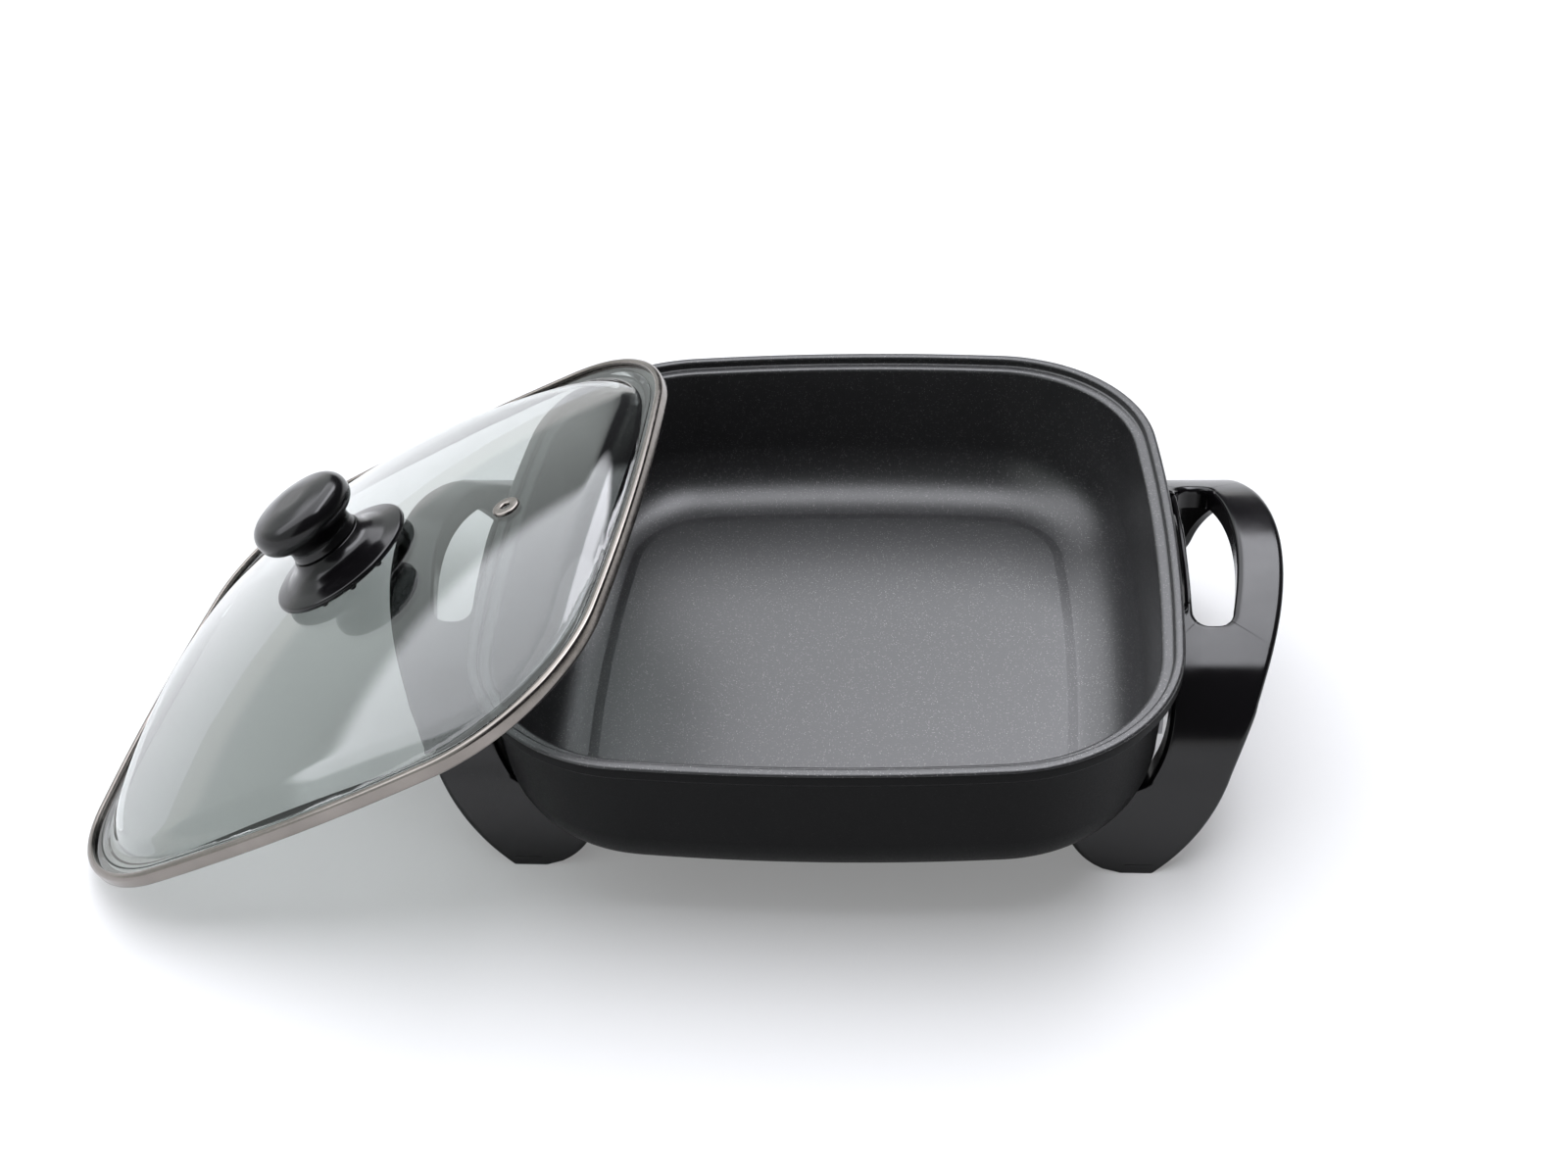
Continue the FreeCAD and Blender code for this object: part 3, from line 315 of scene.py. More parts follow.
def turned(name, profile, body, materials, place, columns):
    """A profile of (radius, height) points turned round an axis. Place holds the axis's frame as rows:
    three directions and an origin."""
    angle = np.linspace(0, 2 * np.pi, columns, endpoint=False)
    across = profile[:, 0][:, None] * np.cos(angle)
    along = profile[:, 0][:, None] * np.sin(angle)
    up = np.broadcast_to(profile[:, 1][:, None], across.shape)
    grid = np.stack([across, along, up], axis=2)
    return skin(name, grid @ place[:3] + place[3], body, materials)


element_corners = [
    (ELEMENT_END, -PIN_PLACE),
    (ELEMENT_HALF, -PIN_PLACE),
    (ELEMENT_HALF, -ELEMENT_HALF),
    (-ELEMENT_HALF, -ELEMENT_HALF),
    (-ELEMENT_HALF, ELEMENT_HALF),
    (ELEMENT_HALF, ELEMENT_HALF),
    (ELEMENT_HALF, PIN_PLACE),
    (ELEMENT_END, PIN_PLACE),
]
element_path = rounded_line(element_corners, [0, 14.0, 30.0, 30.0, 30.0, 30.0, 14.0, 0], steps=14)
rib_section = grooved(half=6.5, groove=3.6, depth=6.05)
rib = skin("element_rib", carried(rib_section, element_path, ELEMENT_HEIGHT), "skillet", [outside_black])
saddle_path = np.array([(SLEEVE_START, 0.0), (ELEMENT_END, 0.0)])
saddle_section = grooved(half=7.5, groove=5.55, depth=7.05)
saddle = skin("probe_saddle", carried(saddle_section, saddle_path, SLEEVE_HEIGHT), "skillet", [outside_black])
boss_top = PAN_BASE + 0.1
boss_profile = rounded_line([
    (BOSS_HOLE, boss_top),
    (BOSS_HOLE, BOSS_SEAT),
    (BOSS_RADIUS, BOSS_SEAT),
    (BOSS_RADIUS, boss_top),
], [0, 0.3, 0.8, 0], steps=5)
for number, (side_x, side_y) in enumerate([(-1, -1), (1, -1), (1, 1), (-1, 1)]):
    screw = (side_x * SCREW_PLACE, side_y * SCREW_PLACE, 0)
    axis = np.array([(1, 0, 0), (0, 1, 0), (0, 0, 1), screw], float)
    boss = turned("boss_%d" % number, boss_profile, "skillet", [outside_black], axis, columns=40)

# Handle and leg mouldings
# Each side is one compression moulding in glossy black phenolic: a handle with a finger opening on top
# and a leg at each end, hollow underneath, screwed to the pan's bosses by two tongues.

CROWN = 105.0
SHOULDER = (69.5, 86.2)
FLANK = (84.5, 68.5)
KNEE = (92.8, 43.0)
FOOT = 106.5
GRIP_END = 60.0
SWEEP = ((143.5, 0.0), (162.0, 19.0), (173.5, 42.0))
RISE = ((173.5, 42.0), (184.0, 73.5), (202.0, 107.0))
BOW_ROUND = 200.0
BOW_MIDDLE = 1.0
BOW_END = 80.0
CALF = ((148.0, 74.0), (145.4, 57.5), (139.0, 41.0))
TOE = ((105.0, 17.5), (114.0, 5.0), (127.0, 0.0))
PAN_GAP = 1.3
WALL = 3.2
THIN_WALL = 1.0
FLANGE = 12.0
EDGE_ROUND = 2.0


def circle_through(first, middle, last):
    """Centre and radius of the circle through three points, from the bisectors of two chords."""
    a, b, c = (np.array(point, float) for point in (first, middle, last))
    matrix = 2 * np.array([b - a, c - a])
    centre = np.linalg.solve(matrix, [b @ b - a @ a, c @ c - a @ a])
    return centre, np.linalg.norm(a - centre)


def arch_line():
    """The side profile from the front foot over the crown to the back foot, at even steps of its length.
    Its height over y is one arc over the crown, one down each flank and a straight leg; an average along
    the line, weighted by exp(-(distance / bell_width) squared), takes the corners out. Inward is the
    direction square to the line, turned level below level_height."""
    y = np.linspace(-FOOT, FOOT, 8001)
    away = np.abs(y)
    crown_centre, crown_radius = circle_through((-SHOULDER[0], SHOULDER[1]), (0, CROWN), SHOULDER)
    flank_centre, flank_radius = circle_through(SHOULDER, FLANK, KNEE)
    over = crown_centre[1] + np.sqrt(np.maximum(crown_radius ** 2 - away ** 2, 0))
    side = flank_centre[1] + np.sqrt(np.maximum(flank_radius ** 2 - (away - flank_centre[0]) ** 2, 0))
    leg = KNEE[1] * (FOOT - away) / (FOOT - KNEE[0])
    z = np.where(away < SHOULDER[0], over, np.where(away < KNEE[0], side, leg))
    run = np.concatenate([[0], np.cumsum(np.hypot(np.diff(y), np.diff(z)))])
    step = 0.25
    even = np.arange(0, run[-1], step)
    reach = 72
    bell_width = 5.5
    bell = np.exp(-(np.arange(-reach, reach + 1) * step / bell_width) ** 2)
    bell /= bell.sum()

    def eased(values):
        """The values at even steps, run on straight at both ends, then averaged with the bell's weights."""
        line = np.interp(even, run, values)
        lead = line[0] - (line[1] - line[0]) * np.arange(reach, 0, -1)
        tail = line[-1] + (line[-1] - line[-2]) * np.arange(1, reach + 1)
        return np.convolve(np.concatenate([lead, line, tail]), bell, mode="valid")

    y, z = eased(y), eased(z)
    ahead = np.gradient(np.stack([y, z], axis=1), axis=0)
    ahead /= np.linalg.norm(ahead, axis=1)[:, None]
    level_height = 22.0
    level = np.clip(z / level_height, 0, 1)
    level = level * level * (3 - 2 * level)
    inward_y = ahead[:, 1] * level - np.sign(y) * (1 - level)
    inward_z = -ahead[:, 0] * level
    return even, y, z, inward_y, inward_z


ARCH = arch_line()


def on_arch(x, run, depth):
    """A point of the moulding from its place across, its run along the arch and its depth under it."""
    even, y, z, inward_y, inward_z = ARCH
    here_y = np.interp(run, even, y) + depth * np.interp(run, even, inward_y)
    here_z = np.interp(run, even, z) + depth * np.interp(run, even, inward_z)
    return np.stack(np.broadcast_arrays(x, here_y, here_z), axis=-1)


def outer_edge(y, z):
    """The moulding's outer edge: the circles through SWEEP and RISE seen from the front, or the handle's
    bow seen from above, whichever is nearer the pan. Where the two cross, the edge is drawn in by up to
    0.25 mm."""
    low_centre, low_radius = circle_through(*SWEEP)
    high_centre, high_radius = circle_through(*RISE)
    low = low_centre[0] + np.sqrt(np.maximum(low_radius ** 2 - (z - low_centre[1]) ** 2, 0))
    high = high_centre[0] - np.sqrt(np.maximum(high_radius ** 2 - (z - high_centre[1]) ** 2, 0))
    front = np.where(z < SWEEP[2][1], low, high)
    bow = BOW_MIDDLE + np.sqrt(BOW_ROUND ** 2 - np.minimum(np.abs(y), BOW_END) ** 2)
    gap = np.abs(front - bow)
    return np.minimum(front, bow) - 0.25 * np.exp(-gap)


def pan_reach(y, half):
    """How far the pan's outline of this half width reaches across at y: on the side arc up to side_end,
    then on the corner arc."""
    side_end = 78.0
    inset = RIM_HALF - half
    lean = RIM_HALF - SIDE_ROUND
    spread = corner_place()
    away = np.abs(y)
    side = lean + np.sqrt((SIDE_ROUND - inset) ** 2 - away ** 2)
    left = (CORNER_ROUND - inset) ** 2 - (away - spread) ** 2
    corner = spread + np.sqrt(np.maximum(left, 0))
    return np.where(away < side_end, side, np.where(left > 0, corner, 0))


def inner_edge(y, z):
    """The moulding's inner edge seen from the front: an upright rail, the circle through CALF, a straight
    shelf, an upright step and the circle through TOE. It is never nearer than PAN_GAP to the pan's rim,
    wall or rounded base, and runs over to the rim's own outline between tuck_start and tuck_end."""
    calf_centre, calf_radius = circle_through(*CALF)
    toe_centre, toe_radius = circle_through(*TOE)
    rail_x, rail_low = CALF[0]
    shelf_x, shelf_high = CALF[2]
    step_x, step_low = TOE[0]
    tuck_start = 96.6
    tuck_end = 98.0
    calf = calf_centre[0] + np.sqrt(np.maximum(calf_radius ** 2 - (z - calf_centre[1]) ** 2, 0))
    shelf = step_x + (shelf_x - step_x) * (z - PAN_BASE) / (shelf_high - PAN_BASE)
    toe = toe_centre[0] - np.sqrt(np.maximum(toe_radius ** 2 - (z - toe_centre[1]) ** 2, 0))
    front = np.select([z > rail_low, z > shelf_high, z > PAN_BASE, z > step_low],
                      [rail_x, calf, shelf, step_x], toe)
    wall_foot = PAN_BASE + BASE_ROUND
    wall_share = np.clip((z - wall_foot) / (RIM_UNDER - wall_foot), 0, 1)
    wall = WALL_LOW + (WALL_HIGH - WALL_LOW) * wall_share
    base_round = np.sqrt(np.maximum((BASE_ROUND + PAN_GAP) ** 2 - (wall_foot - z) ** 2, 0))
    half = np.where(z > wall_foot, wall + PAN_GAP, WALL_LOW - BASE_ROUND + base_round)
    tuck = np.clip((z - tuck_start) / (tuck_end - tuck_start), 0, 1)
    half = half + (RIM_HALF + PAN_GAP - half) * tuck * tuck * (3 - 2 * tuck)
    reach = np.where(z > PAN_BASE - PAN_GAP, pan_reach(y, half), 0)
    return np.maximum(front, reach)


def opening_line(count_long, count_end):
    """The finger opening seen from above: straight beside the pan, an arc that bows out by bow on the
    other side, and a quarter circle at each corner. Its four sides run from corner middle to corner
    middle in even steps."""
    left = 158.5
    right = 180.5
    half = 50.0
    corner = 7.0
    bow = 4.5
    bow_y = np.linspace(-half + corner, half - corner, 60)
    bow_centre, bow_radius = circle_through((right - bow, bow_y[0]), (right, 0), (right - bow, bow_y[-1]))
    bow_x = bow_centre[0] + np.sqrt(bow_radius ** 2 - bow_y ** 2)
    turn = np.linspace(0, np.pi / 2, 40)
    half_turn = 20

    def arc(x, y, start):
        """A quarter circle of the corner's radius round (x, y), from the start angle."""
        return np.stack([x + corner * np.cos(start + turn), y + corner * np.sin(start + turn)], axis=1)

    outer_x = right - bow - corner
    inner_x = left + corner
    arcs = [
        arc(outer_x, half - corner, 0),
        arc(inner_x, half - corner, np.pi / 2),
        arc(inner_x, -half + corner, np.pi),
        arc(outer_x, -half + corner, 3 * np.pi / 2),
    ]
    sides = [np.stack([bow_x, bow_y], axis=1), None, None, None]
    parts = []
    for index, count in enumerate((count_long, count_end, count_long, count_end)):
        before = arcs[index - 1][half_turn:]
        after = arcs[index][:half_turn]
        run = [before] + ([sides[index]] if sides[index] is not None else []) + [after]
        line = np.concatenate(run)
        length = np.concatenate([[0], np.cumsum(np.linalg.norm(np.diff(line, axis=0), axis=1))])
        even = np.linspace(0, length[-1], count)
        parts.append(np.stack([np.interp(even, length, line[:, axis]) for axis in (0, 1)], axis=1))
    return parts


def rolled(distance, radius):
    """How far a rounded edge has dropped at a distance from the edge: a quarter circle."""
    inside = np.clip(radius - distance, 0, radius)
    return radius - np.sqrt(np.maximum(radius ** 2 - inside ** 2, 0))


def grid_faces(grid, start):
    """Four-sided faces between a grid's rows and columns, when its first point has the number start."""
    rows, columns = grid.shape[:2]
    row = np.arange(rows - 1)[:, None]
    column = np.arange(columns - 1)[None]
    corner = start + row * columns + column
    return np.stack([corner, corner + 1, corner + columns + 1, corner + columns], axis=2).reshape(-1, 4)


def moulding_sheet():
    """The moulding's outer skin as grids of points, each with its plastic's thickness: both legs, the
    handle in four patches round its opening, the flanges down from its edges and the opening's wall. A
    patch runs from the opening's side to the handle's border in shares of a half cosine."""
    even, arch_y, arch_z = ARCH[:3]
    columns = 27
    rows = 57
    ease = (1 - np.cos(np.linspace(0, np.pi, columns))) / 2
    start = np.interp(-GRIP_END, arch_y, even)
    end = np.interp(GRIP_END, arch_y, even)
    grids = []

    def edges(run):
        """The inner and outer edge at a run along the arch."""
        y = np.interp(run, even, arch_y)
        z = np.interp(run, even, arch_z)
        return inner_edge(y, z), outer_edge(y, z)

    def flange(across, run, radius):
        """The edge's side: straight inward from the end of its rounding to the depth FLANGE."""
        share = np.linspace(0, 1, 6)[None]
        depth = radius[:, None] + (FLANGE - radius[:, None]) * share
        return on_arch(np.broadcast_to(across[:, None], depth.shape), run[:, None], depth)

    for run in (np.linspace(0, start, rows), np.linspace(end, even[-1], rows)):
        inner, outer = edges(run)
        x = inner[:, None] + (outer - inner)[:, None] * ease[None]
        side = np.minimum(x - inner[:, None], outer[:, None] - x)
        radius = np.full(rows, EDGE_ROUND)
        grids.append((on_arch(x, run[:, None], rolled(side, EDGE_ROUND)), WALL))
        grids.append((flange(outer, run, radius), WALL))
        grids.append((flange(inner, run, radius), WALL))

    along = np.linspace(-GRIP_END, GRIP_END, 73)
    z_along = np.interp(np.interp(along, arch_y, even), even, arch_z)
    left = np.stack([inner_edge(along, z_along), along], axis=1)
    right = np.stack([outer_edge(along, z_along), along], axis=1)
    back = left[-1] + (right[-1] - left[-1]) * ease[::-1][:, None]
    front = left[0] + (right[0] - left[0]) * ease[:, None]
    borders = [right, back, left[::-1], front]
    share = ((1 - np.cos(np.linspace(0, np.pi, 19))) / 2)[:, None, None]
    outer_side = 0
    inner_side = 2
    opening_depth = FLANGE - 2.5
    for number, (hole, border) in enumerate(zip(opening_line(len(along), columns), borders)):
        flat = hole[None] * (1 - share) + border[None] * share
        reach = np.linalg.norm(border - hole, axis=1)
        radius = np.minimum(EDGE_ROUND, reach * 0.5)
        to_hole = share[:, :, 0] * reach[None]
        x, y = flat[..., 0], flat[..., 1]
        run = np.interp(y, arch_y, even)
        z = np.interp(run, even, arch_z)
        side = np.minimum(x - inner_edge(y, z), outer_edge(y, z) - x)
        drop = np.maximum(rolled(to_hole, radius[None]), rolled(np.maximum(side, 0), radius[None]))
        thick = THIN_WALL if number == inner_side else WALL
        grids.append((on_arch(x, run, drop), thick))
        hole_run = np.interp(hole[:, 1], arch_y, even)
        lip = on_arch(hole[:, 0], hole_run, radius)
        fall = np.linspace(0, opening_depth, 6)[None, :, None] * np.array([0, 0, -1.0])
        grids.append((lip[:, None] + fall, thick))
        if number in (outer_side, inner_side):
            border_run = np.interp(border[:, 1], arch_y, even)
            grids.append((flange(border[:, 0], border_run, radius), thick))
    return grids


phenolic, phenolic_shader, add = finish("black_phenolic", (0.004, 0.0036, 0.0042), 0.16)
phenolic_shader.inputs["Specular IOR Level"].default_value = 0.40
haze = add("TexNoise", {"Scale": 35.0, "Detail": 5.0, "Roughness": 0.6}, {"Vector": add.place})
haze_gloss = add("MapRange", {"From Min": 0.35, "From Max": 0.75, "To Min": 0.12, "To Max": 0.24},
                 {"Value": haze.outputs["Fac"]})
add.join(haze_gloss.outputs["Result"], phenolic_shader.inputs["Roughness"])
flow = add("TexNoise", {"Scale": 60.0, "Detail": 1.0}, {"Vector": add.place})
flow_bump = add("Bump", {"Strength": 0.05, "Distance": 0.0006}, {"Height": flow.outputs["Fac"]})
add.join(flow_bump.outputs["Normal"], phenolic_shader.inputs["Normal"])

sheet_grids = moulding_sheet()
sheet_points = np.concatenate([grid.reshape(-1, 3) for grid, thick in sheet_grids])
sheet_thick = np.concatenate([np.full(grid.shape[0] * grid.shape[1], thick) for grid, thick in sheet_grids])
sheet_faces = []
first_point = 0
for grid, thick in sheet_grids:
    sheet_faces.append(grid_faces(grid, first_point))
    first_point += grid.shape[0] * grid.shape[1]
sheet_faces = np.concatenate(sheet_faces).tolist()


def baked(piece):
    """The piece's modifiers worked into its mesh, with edges sharper than SHARP kept sharp."""
    bpy.context.view_layer.update()
    shape = piece.evaluated_get(bpy.context.evaluated_depsgraph_get())
    mesh = bpy.data.meshes.new_from_object(shape)
    piece.modifiers.clear()
    piece.data = mesh
    mesh.shade_smooth()
    mesh.set_sharp_from_angle(angle=SHARP)


merge_within = 0.000004
thin_points = np.flatnonzero(sheet_thick == THIN_WALL).tolist()
full_points = np.flatnonzero(sheet_thick == WALL).tolist()
for side_name, sign in (("right", 1.0), ("left", -1.0)):
    mesh = bpy.data.meshes.new("moulding_" + side_name)
    mesh.from_pydata(sheet_points * (sign * 0.001, sign * 0.001, 0.001), [], sheet_faces)
    mesh.materials.append(phenolic)
    moulding = bpy.data.objects.new("moulding_" + side_name, mesh)
    bpy.context.scene.collection.objects.link(moulding)
    thickness = moulding.vertex_groups.new(name="thickness")
    thickness.add(thin_points, THIN_WALL / WALL, "REPLACE")
    thickness.add(full_points, 1.0, "REPLACE")
    shape = bmesh.new()
    shape.from_mesh(mesh)
    bmesh.ops.remove_doubles(shape, verts=shape.verts, dist=merge_within)
    bmesh.ops.recalc_face_normals(shape, faces=shape.faces)
    highest = max(shape.faces, key=lambda face: face.calc_center_median().z)
    if highest.normal.z < 0:
        bmesh.ops.reverse_faces(shape, faces=shape.faces)
    shape.to_mesh(mesh)
    shape.free()
    walls = moulding.modifiers.new("walls", "SOLIDIFY")
    walls.thickness = WALL * 0.001
    walls.offset = -1.0
    walls.vertex_group = "thickness"
    walls.thickness_vertex_group = 0.1
    baked(moulding)
    feet_level = np.zeros(len(moulding.data.vertices) * 3, np.float32)
    moulding.data.vertices.foreach_get("co", feet_level)
    feet_level[2::3] = np.maximum(feet_level[2::3], 0.0)
    moulding.data.vertices.foreach_set("co", feet_level)
    moulding.data.update()
    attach(moulding, "skillet")
    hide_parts("handle_" + side_name)


def plate(name, outline, low, high, bevel, materials):
    """A flat plate: its outline drawn in by the bevel at both faces, and closed to its middle."""
    middle = outline.mean(0)
    reach = np.linalg.norm(outline - middle, axis=1)[:, None]
    drawn = middle + (outline - middle) * (1 - bevel / reach)
    levels = [(drawn, low), (outline, low + bevel), (outline, high - bevel), (drawn, high)]
    rows = [np.concatenate([line, np.full((len(line), 1), height)], axis=1) for line, height in levels]
    return skin(name, np.stack(rows), "skillet", materials)


TONGUE_HALF = 8.0
TONGUE_ROOT = 112.0
SPACER_THICK = 1.5
TONGUE_THICK = 4.5
TONGUE_TOP = BOSS_SEAT - SPACER_THICK
SOLE_X = (129.0, 144.0)
SOLE_Y = (96.0, 105.6)
nose_turn = np.linspace(np.pi / 2, 3 * np.pi / 2, 24)
nose = SCREW_PLACE + TONGUE_HALF * np.cos(nose_turn)
for side_name, sign in (("right", 1.0), ("left", -1.0)):
    for end_name, end in (("front", -1.0), ("back", 1.0)):
        middle = end * SCREW_PLACE
        nose_line = np.stack([nose, middle + TONGUE_HALF * np.sin(nose_turn)], axis=1)
        root = [(TONGUE_ROOT, middle - TONGUE_HALF), (TONGUE_ROOT, middle + TONGUE_HALF)]
        outline = np.concatenate([root[1:], nose_line, root[:1]]) * (sign, 1.0)
        tongue = plate("tongue_%s_%s" % (end_name, side_name), outline,
                       TONGUE_TOP - TONGUE_THICK, TONGUE_TOP, 0.5, [phenolic])
        sole_corners = [(SOLE_X[0], end * SOLE_Y[0]), (SOLE_X[0], end * SOLE_Y[1]),
                        (SOLE_X[1], end * SOLE_Y[1]), (SOLE_X[1], end * SOLE_Y[0])]
        sole_line = rounded_line(sole_corners, [1.5] * 4, steps=5) * (sign, 1.0)
        sole = plate("sole_%s_%s" % (end_name, side_name), sole_line, 0.2, 4.0, 0.4, [phenolic])

# Heating element, pins, probe sleeve, guard and screws
# The parts under the pan are fitted to the casting: a bent steel-sheathed element whose two pins pass
# through ceramic bushes, a thin sleeve for the control's probe, a folded guard and zinc-plated screws.


def plated(name, colour, roughness, scale, streak, metallic=1.0):
    """A bought-in piece's finish: its colour varies in soft clouds, and its gloss and bump in finer
    marks, whose scale along each axis is streak."""
    material, shader, add = finish(name, colour, roughness, metallic)
    clouds = add("TexNoise", {"Scale": scale, "Detail": 4.0}, {"Vector": add.place})
    tone = add("MapRange", {"From Min": 0.3, "From Max": 0.7, "To Min": 0.85, "To Max": 1.1},
               {"Value": clouds.outputs["Fac"]})
    toned = add("VectorMath", {0: colour}, {"Scale": tone.outputs["Result"]}, operation="SCALE")
    add.join(toned.outputs["Vector"], shader.inputs["Base Color"])
    stretched = add("Mapping", {"Scale": streak}, {"Vector": add.place})
    marks = add("TexNoise", {"Scale": 1.0, "Detail": 3.0}, {"Vector": stretched.outputs["Vector"]})
    gloss = add("MapRange", {"From Min": 0.3, "From Max": 0.7,
                             "To Min": roughness * 0.8, "To Max": roughness * 1.3},
                {"Value": marks.outputs["Fac"]})
    add.join(gloss.outputs["Result"], shader.inputs["Roughness"])
    bump = add("Bump", {"Strength": 0.08, "Distance": 0.0001}, {"Height": marks.outputs["Fac"]})
    add.join(bump.outputs["Normal"], shader.inputs["Normal"])
    return material


node_finishes = {
    "element_sheath": plated("element_sheath", (0.20, 0.185, 0.17), 0.38, 60.0, (300, 300, 300)),
    "pin_metal": plated("pin_metal", (0.62, 0.60, 0.56), 0.24, 120.0, (80, 1500, 1500)),
    "sleeve_metal": plated("sleeve_metal", (0.60, 0.60, 0.61), 0.34, 80.0, (60, 1200, 1200)),
    "guard_steel": plated("guard_steel", (0.48, 0.48, 0.50), 0.32, 50.0, (60, 900, 900)),
    "zinc_steel": plated("zinc_steel", (0.55, 0.55, 0.57), 0.35, 150.0, (800, 800, 800)),
    "brass": plated("brass", (0.62, 0.43, 0.17), 0.30, 120.0, (900, 900, 200)),
    "white_ceramic": plated("white_ceramic", (0.75, 0.72, 0.66), 0.25, 200.0, (700, 700, 700), 0.0),
    "silicone": plated("silicone", (0.05, 0.05, 0.053), 0.55, 90.0, (500, 500, 500), 0.0),
}
slot_of = {row["node"]: row["material_slot"] for row in frame["record"]["subparts"]}
for node_name, solid in frame["nodes"].items():
    if slot_of[node_name] in node_finishes:
        solid.data.materials.clear()
        solid.data.materials.append(node_finishes[slot_of[node_name]])

# Lid's place
# The lid is off the pan: its low edge stands on the surface and its underside leans on the left handle.
# Its frame is read back from the solids, so that every piece below sits where the CAD lid is.


def node_points(name):
    """The solid's points in millimetres."""
    mesh = frame["nodes"][name].data
    points = np.zeros(len(mesh.vertices) * 3, np.float32)
    mesh.vertices.foreach_get("co", points)
    return points.reshape(-1, 3).astype(float) * 1000.0


def middle_along(points, axes):
    """The middle of the points' box, measured along three directions."""
    spans = points @ axes.T
    return ((spans.min(0) + spans.max(0)) / 2) @ axes


band_points = node_points("lid_band")
spread_axes = np.linalg.svd(band_points - band_points.mean(0), full_matrices=False)[2]
lid_up = spread_axes[2] * np.sign(spread_axes[2][2])
rough_axes = np.stack([spread_axes[0], spread_axes[1], lid_up])
rough_middle = middle_along(band_points, rough_axes)
to_vent = middle_along(node_points("vent_grommet"), rough_axes) - rough_middle
lid_across = to_vent - lid_up * (to_vent @ lid_up)
lid_across /= np.linalg.norm(lid_across)
lid_axes = np.stack([lid_across, np.cross(lid_up, lid_across), lid_up])
lid_middle = middle_along(band_points, lid_axes)
lid_origin = lid_middle + lid_up * ((band_points @ lid_up).min() - lid_middle @ lid_up)
LID = np.vstack([lid_axes, lid_origin])

# Lid glass
# Tempered soda-lime glass, 4 mm thick, sagged over a mould: a flat rim for the band, a soft bend and a
# shallow dome. Its faint grey-green comes from iron in the glass.

GLASS_HALF = 147.15
GLASS_THICK = 4.0
GLASS_LOW = 0.85
DOME_HALF = 140.65
DOME_TOP = 32.0
BALL = 520.0


def dome_rows(half, ball, top, bend, low):
    """One face of the dome: up from low at the edge, then the ball. Height is the ball's height at that
    point, less bend * (1 - distance from the edge / bend_width) squared near the edge, but at least low."""
    bend_width = 14.0
    past_bend = np.linspace(bend_width + 4.0, half - INNER_HALF, 7)
    inward = np.concatenate([np.linspace(0, bend_width, 15), past_bend])
    widths = np.concatenate([half - inward, np.linspace(94.0, 3.0, 15)])
    flat = round_rim(np.stack([widths, np.zeros(len(widths))], axis=1))
    away = np.linalg.norm(flat[..., :2], axis=2)
    drop = bend * np.clip(1 - (half - widths) / bend_width, 0, 1)[:, None] ** 2
    flat[..., 2] = np.maximum(top - ball + np.sqrt(ball ** 2 - away ** 2) - drop, low)
    foot = flat[:1].copy()
    foot[..., 2] = low
    return np.concatenate([foot, flat])


glass_top = dome_rows(DOME_HALF, BALL, DOME_TOP, 8.0, 5.1)
glass_under = dome_rows(DOME_HALF - GLASS_THICK, BALL - GLASS_THICK, DOME_TOP - GLASS_THICK, 4.0, 1.0)
glass_high = GLASS_LOW + GLASS_THICK
glass_rim = round_rim(rounded_line([
    (DOME_HALF - GLASS_THICK, GLASS_LOW),
    (GLASS_HALF, GLASS_LOW),
    (GLASS_HALF, glass_high),
    (DOME_HALF, glass_high),
], [0.5, 1.2, 1.2, 0.8], steps=6))
glass_grid = np.concatenate([glass_under[::-1], glass_rim, glass_top])

glass, glass_shader, add = finish("lid_glass", (0.50, 0.535, 0.52), 0.0)
glass_shader.inputs["Transmission Weight"].default_value = 1.0
glass_shader.inputs["IOR"].default_value = 1.5
glass_shader.inputs["Specular IOR Level"].default_value = 0.9
glass_shader.inputs["Coat Weight"].default_value = 0.6
smear = add("TexNoise", {"Scale": 22.0, "Detail": 6.0, "Roughness": 0.65}, {"Vector": add.place})
smear_gloss = add("MapRange", {"From Min": 0.55, "From Max": 0.8, "To Min": 0.0, "To Max": 0.05},
                  {"Value": smear.outputs["Fac"]})
add.join(smear_gloss.outputs["Result"], glass_shader.inputs["Roughness"])
lid_glass = skin("glass_dome", glass_grid @ LID[:3] + LID[3], "lid", [glass])
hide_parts("lid_glass")

# Lid band
# A strip of bright stainless steel rolled round the glass rim: an outer wall with a lip folded over the top
# and a wider one under it.

BAND_HALF = 148.0
BAND_TOP = 7.0
STRIP = 0.8
UPPER_LIP = 3.6
LOWER_LIP = 6.5
LIP_UNDER = 4.95
band_line = rounded_line([
    (BAND_HALF - LOWER_LIP, 0.0),
    (BAND_HALF, 0.0),
    (BAND_HALF, BAND_TOP),
    (BAND_HALF - UPPER_LIP, BAND_TOP),
    (BAND_HALF - UPPER_LIP, LIP_UNDER),
    (BAND_HALF - STRIP, LIP_UNDER),
    (BAND_HALF - STRIP, STRIP),
    (BAND_HALF - LOWER_LIP, STRIP),
], [0.3, 1.6, 1.9, 0.7, 0.2, 0.2, 0.2, 0.3], steps=6)
polished = plated("polished_steel", (0.25, 0.228, 0.21), 0.20, 30.0, (400, 400, 400))
band_grid = round_rim(band_line).transpose(1, 0, 2)
band = skin("glass_band", band_grid @ LID[:3] + LID[3], "lid", [polished], loop=True)
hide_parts("lid_band")

# Steam vent
# A stainless eyelet pressed through the glass, with a rolled ring above, a barrel and a 4 mm hole.

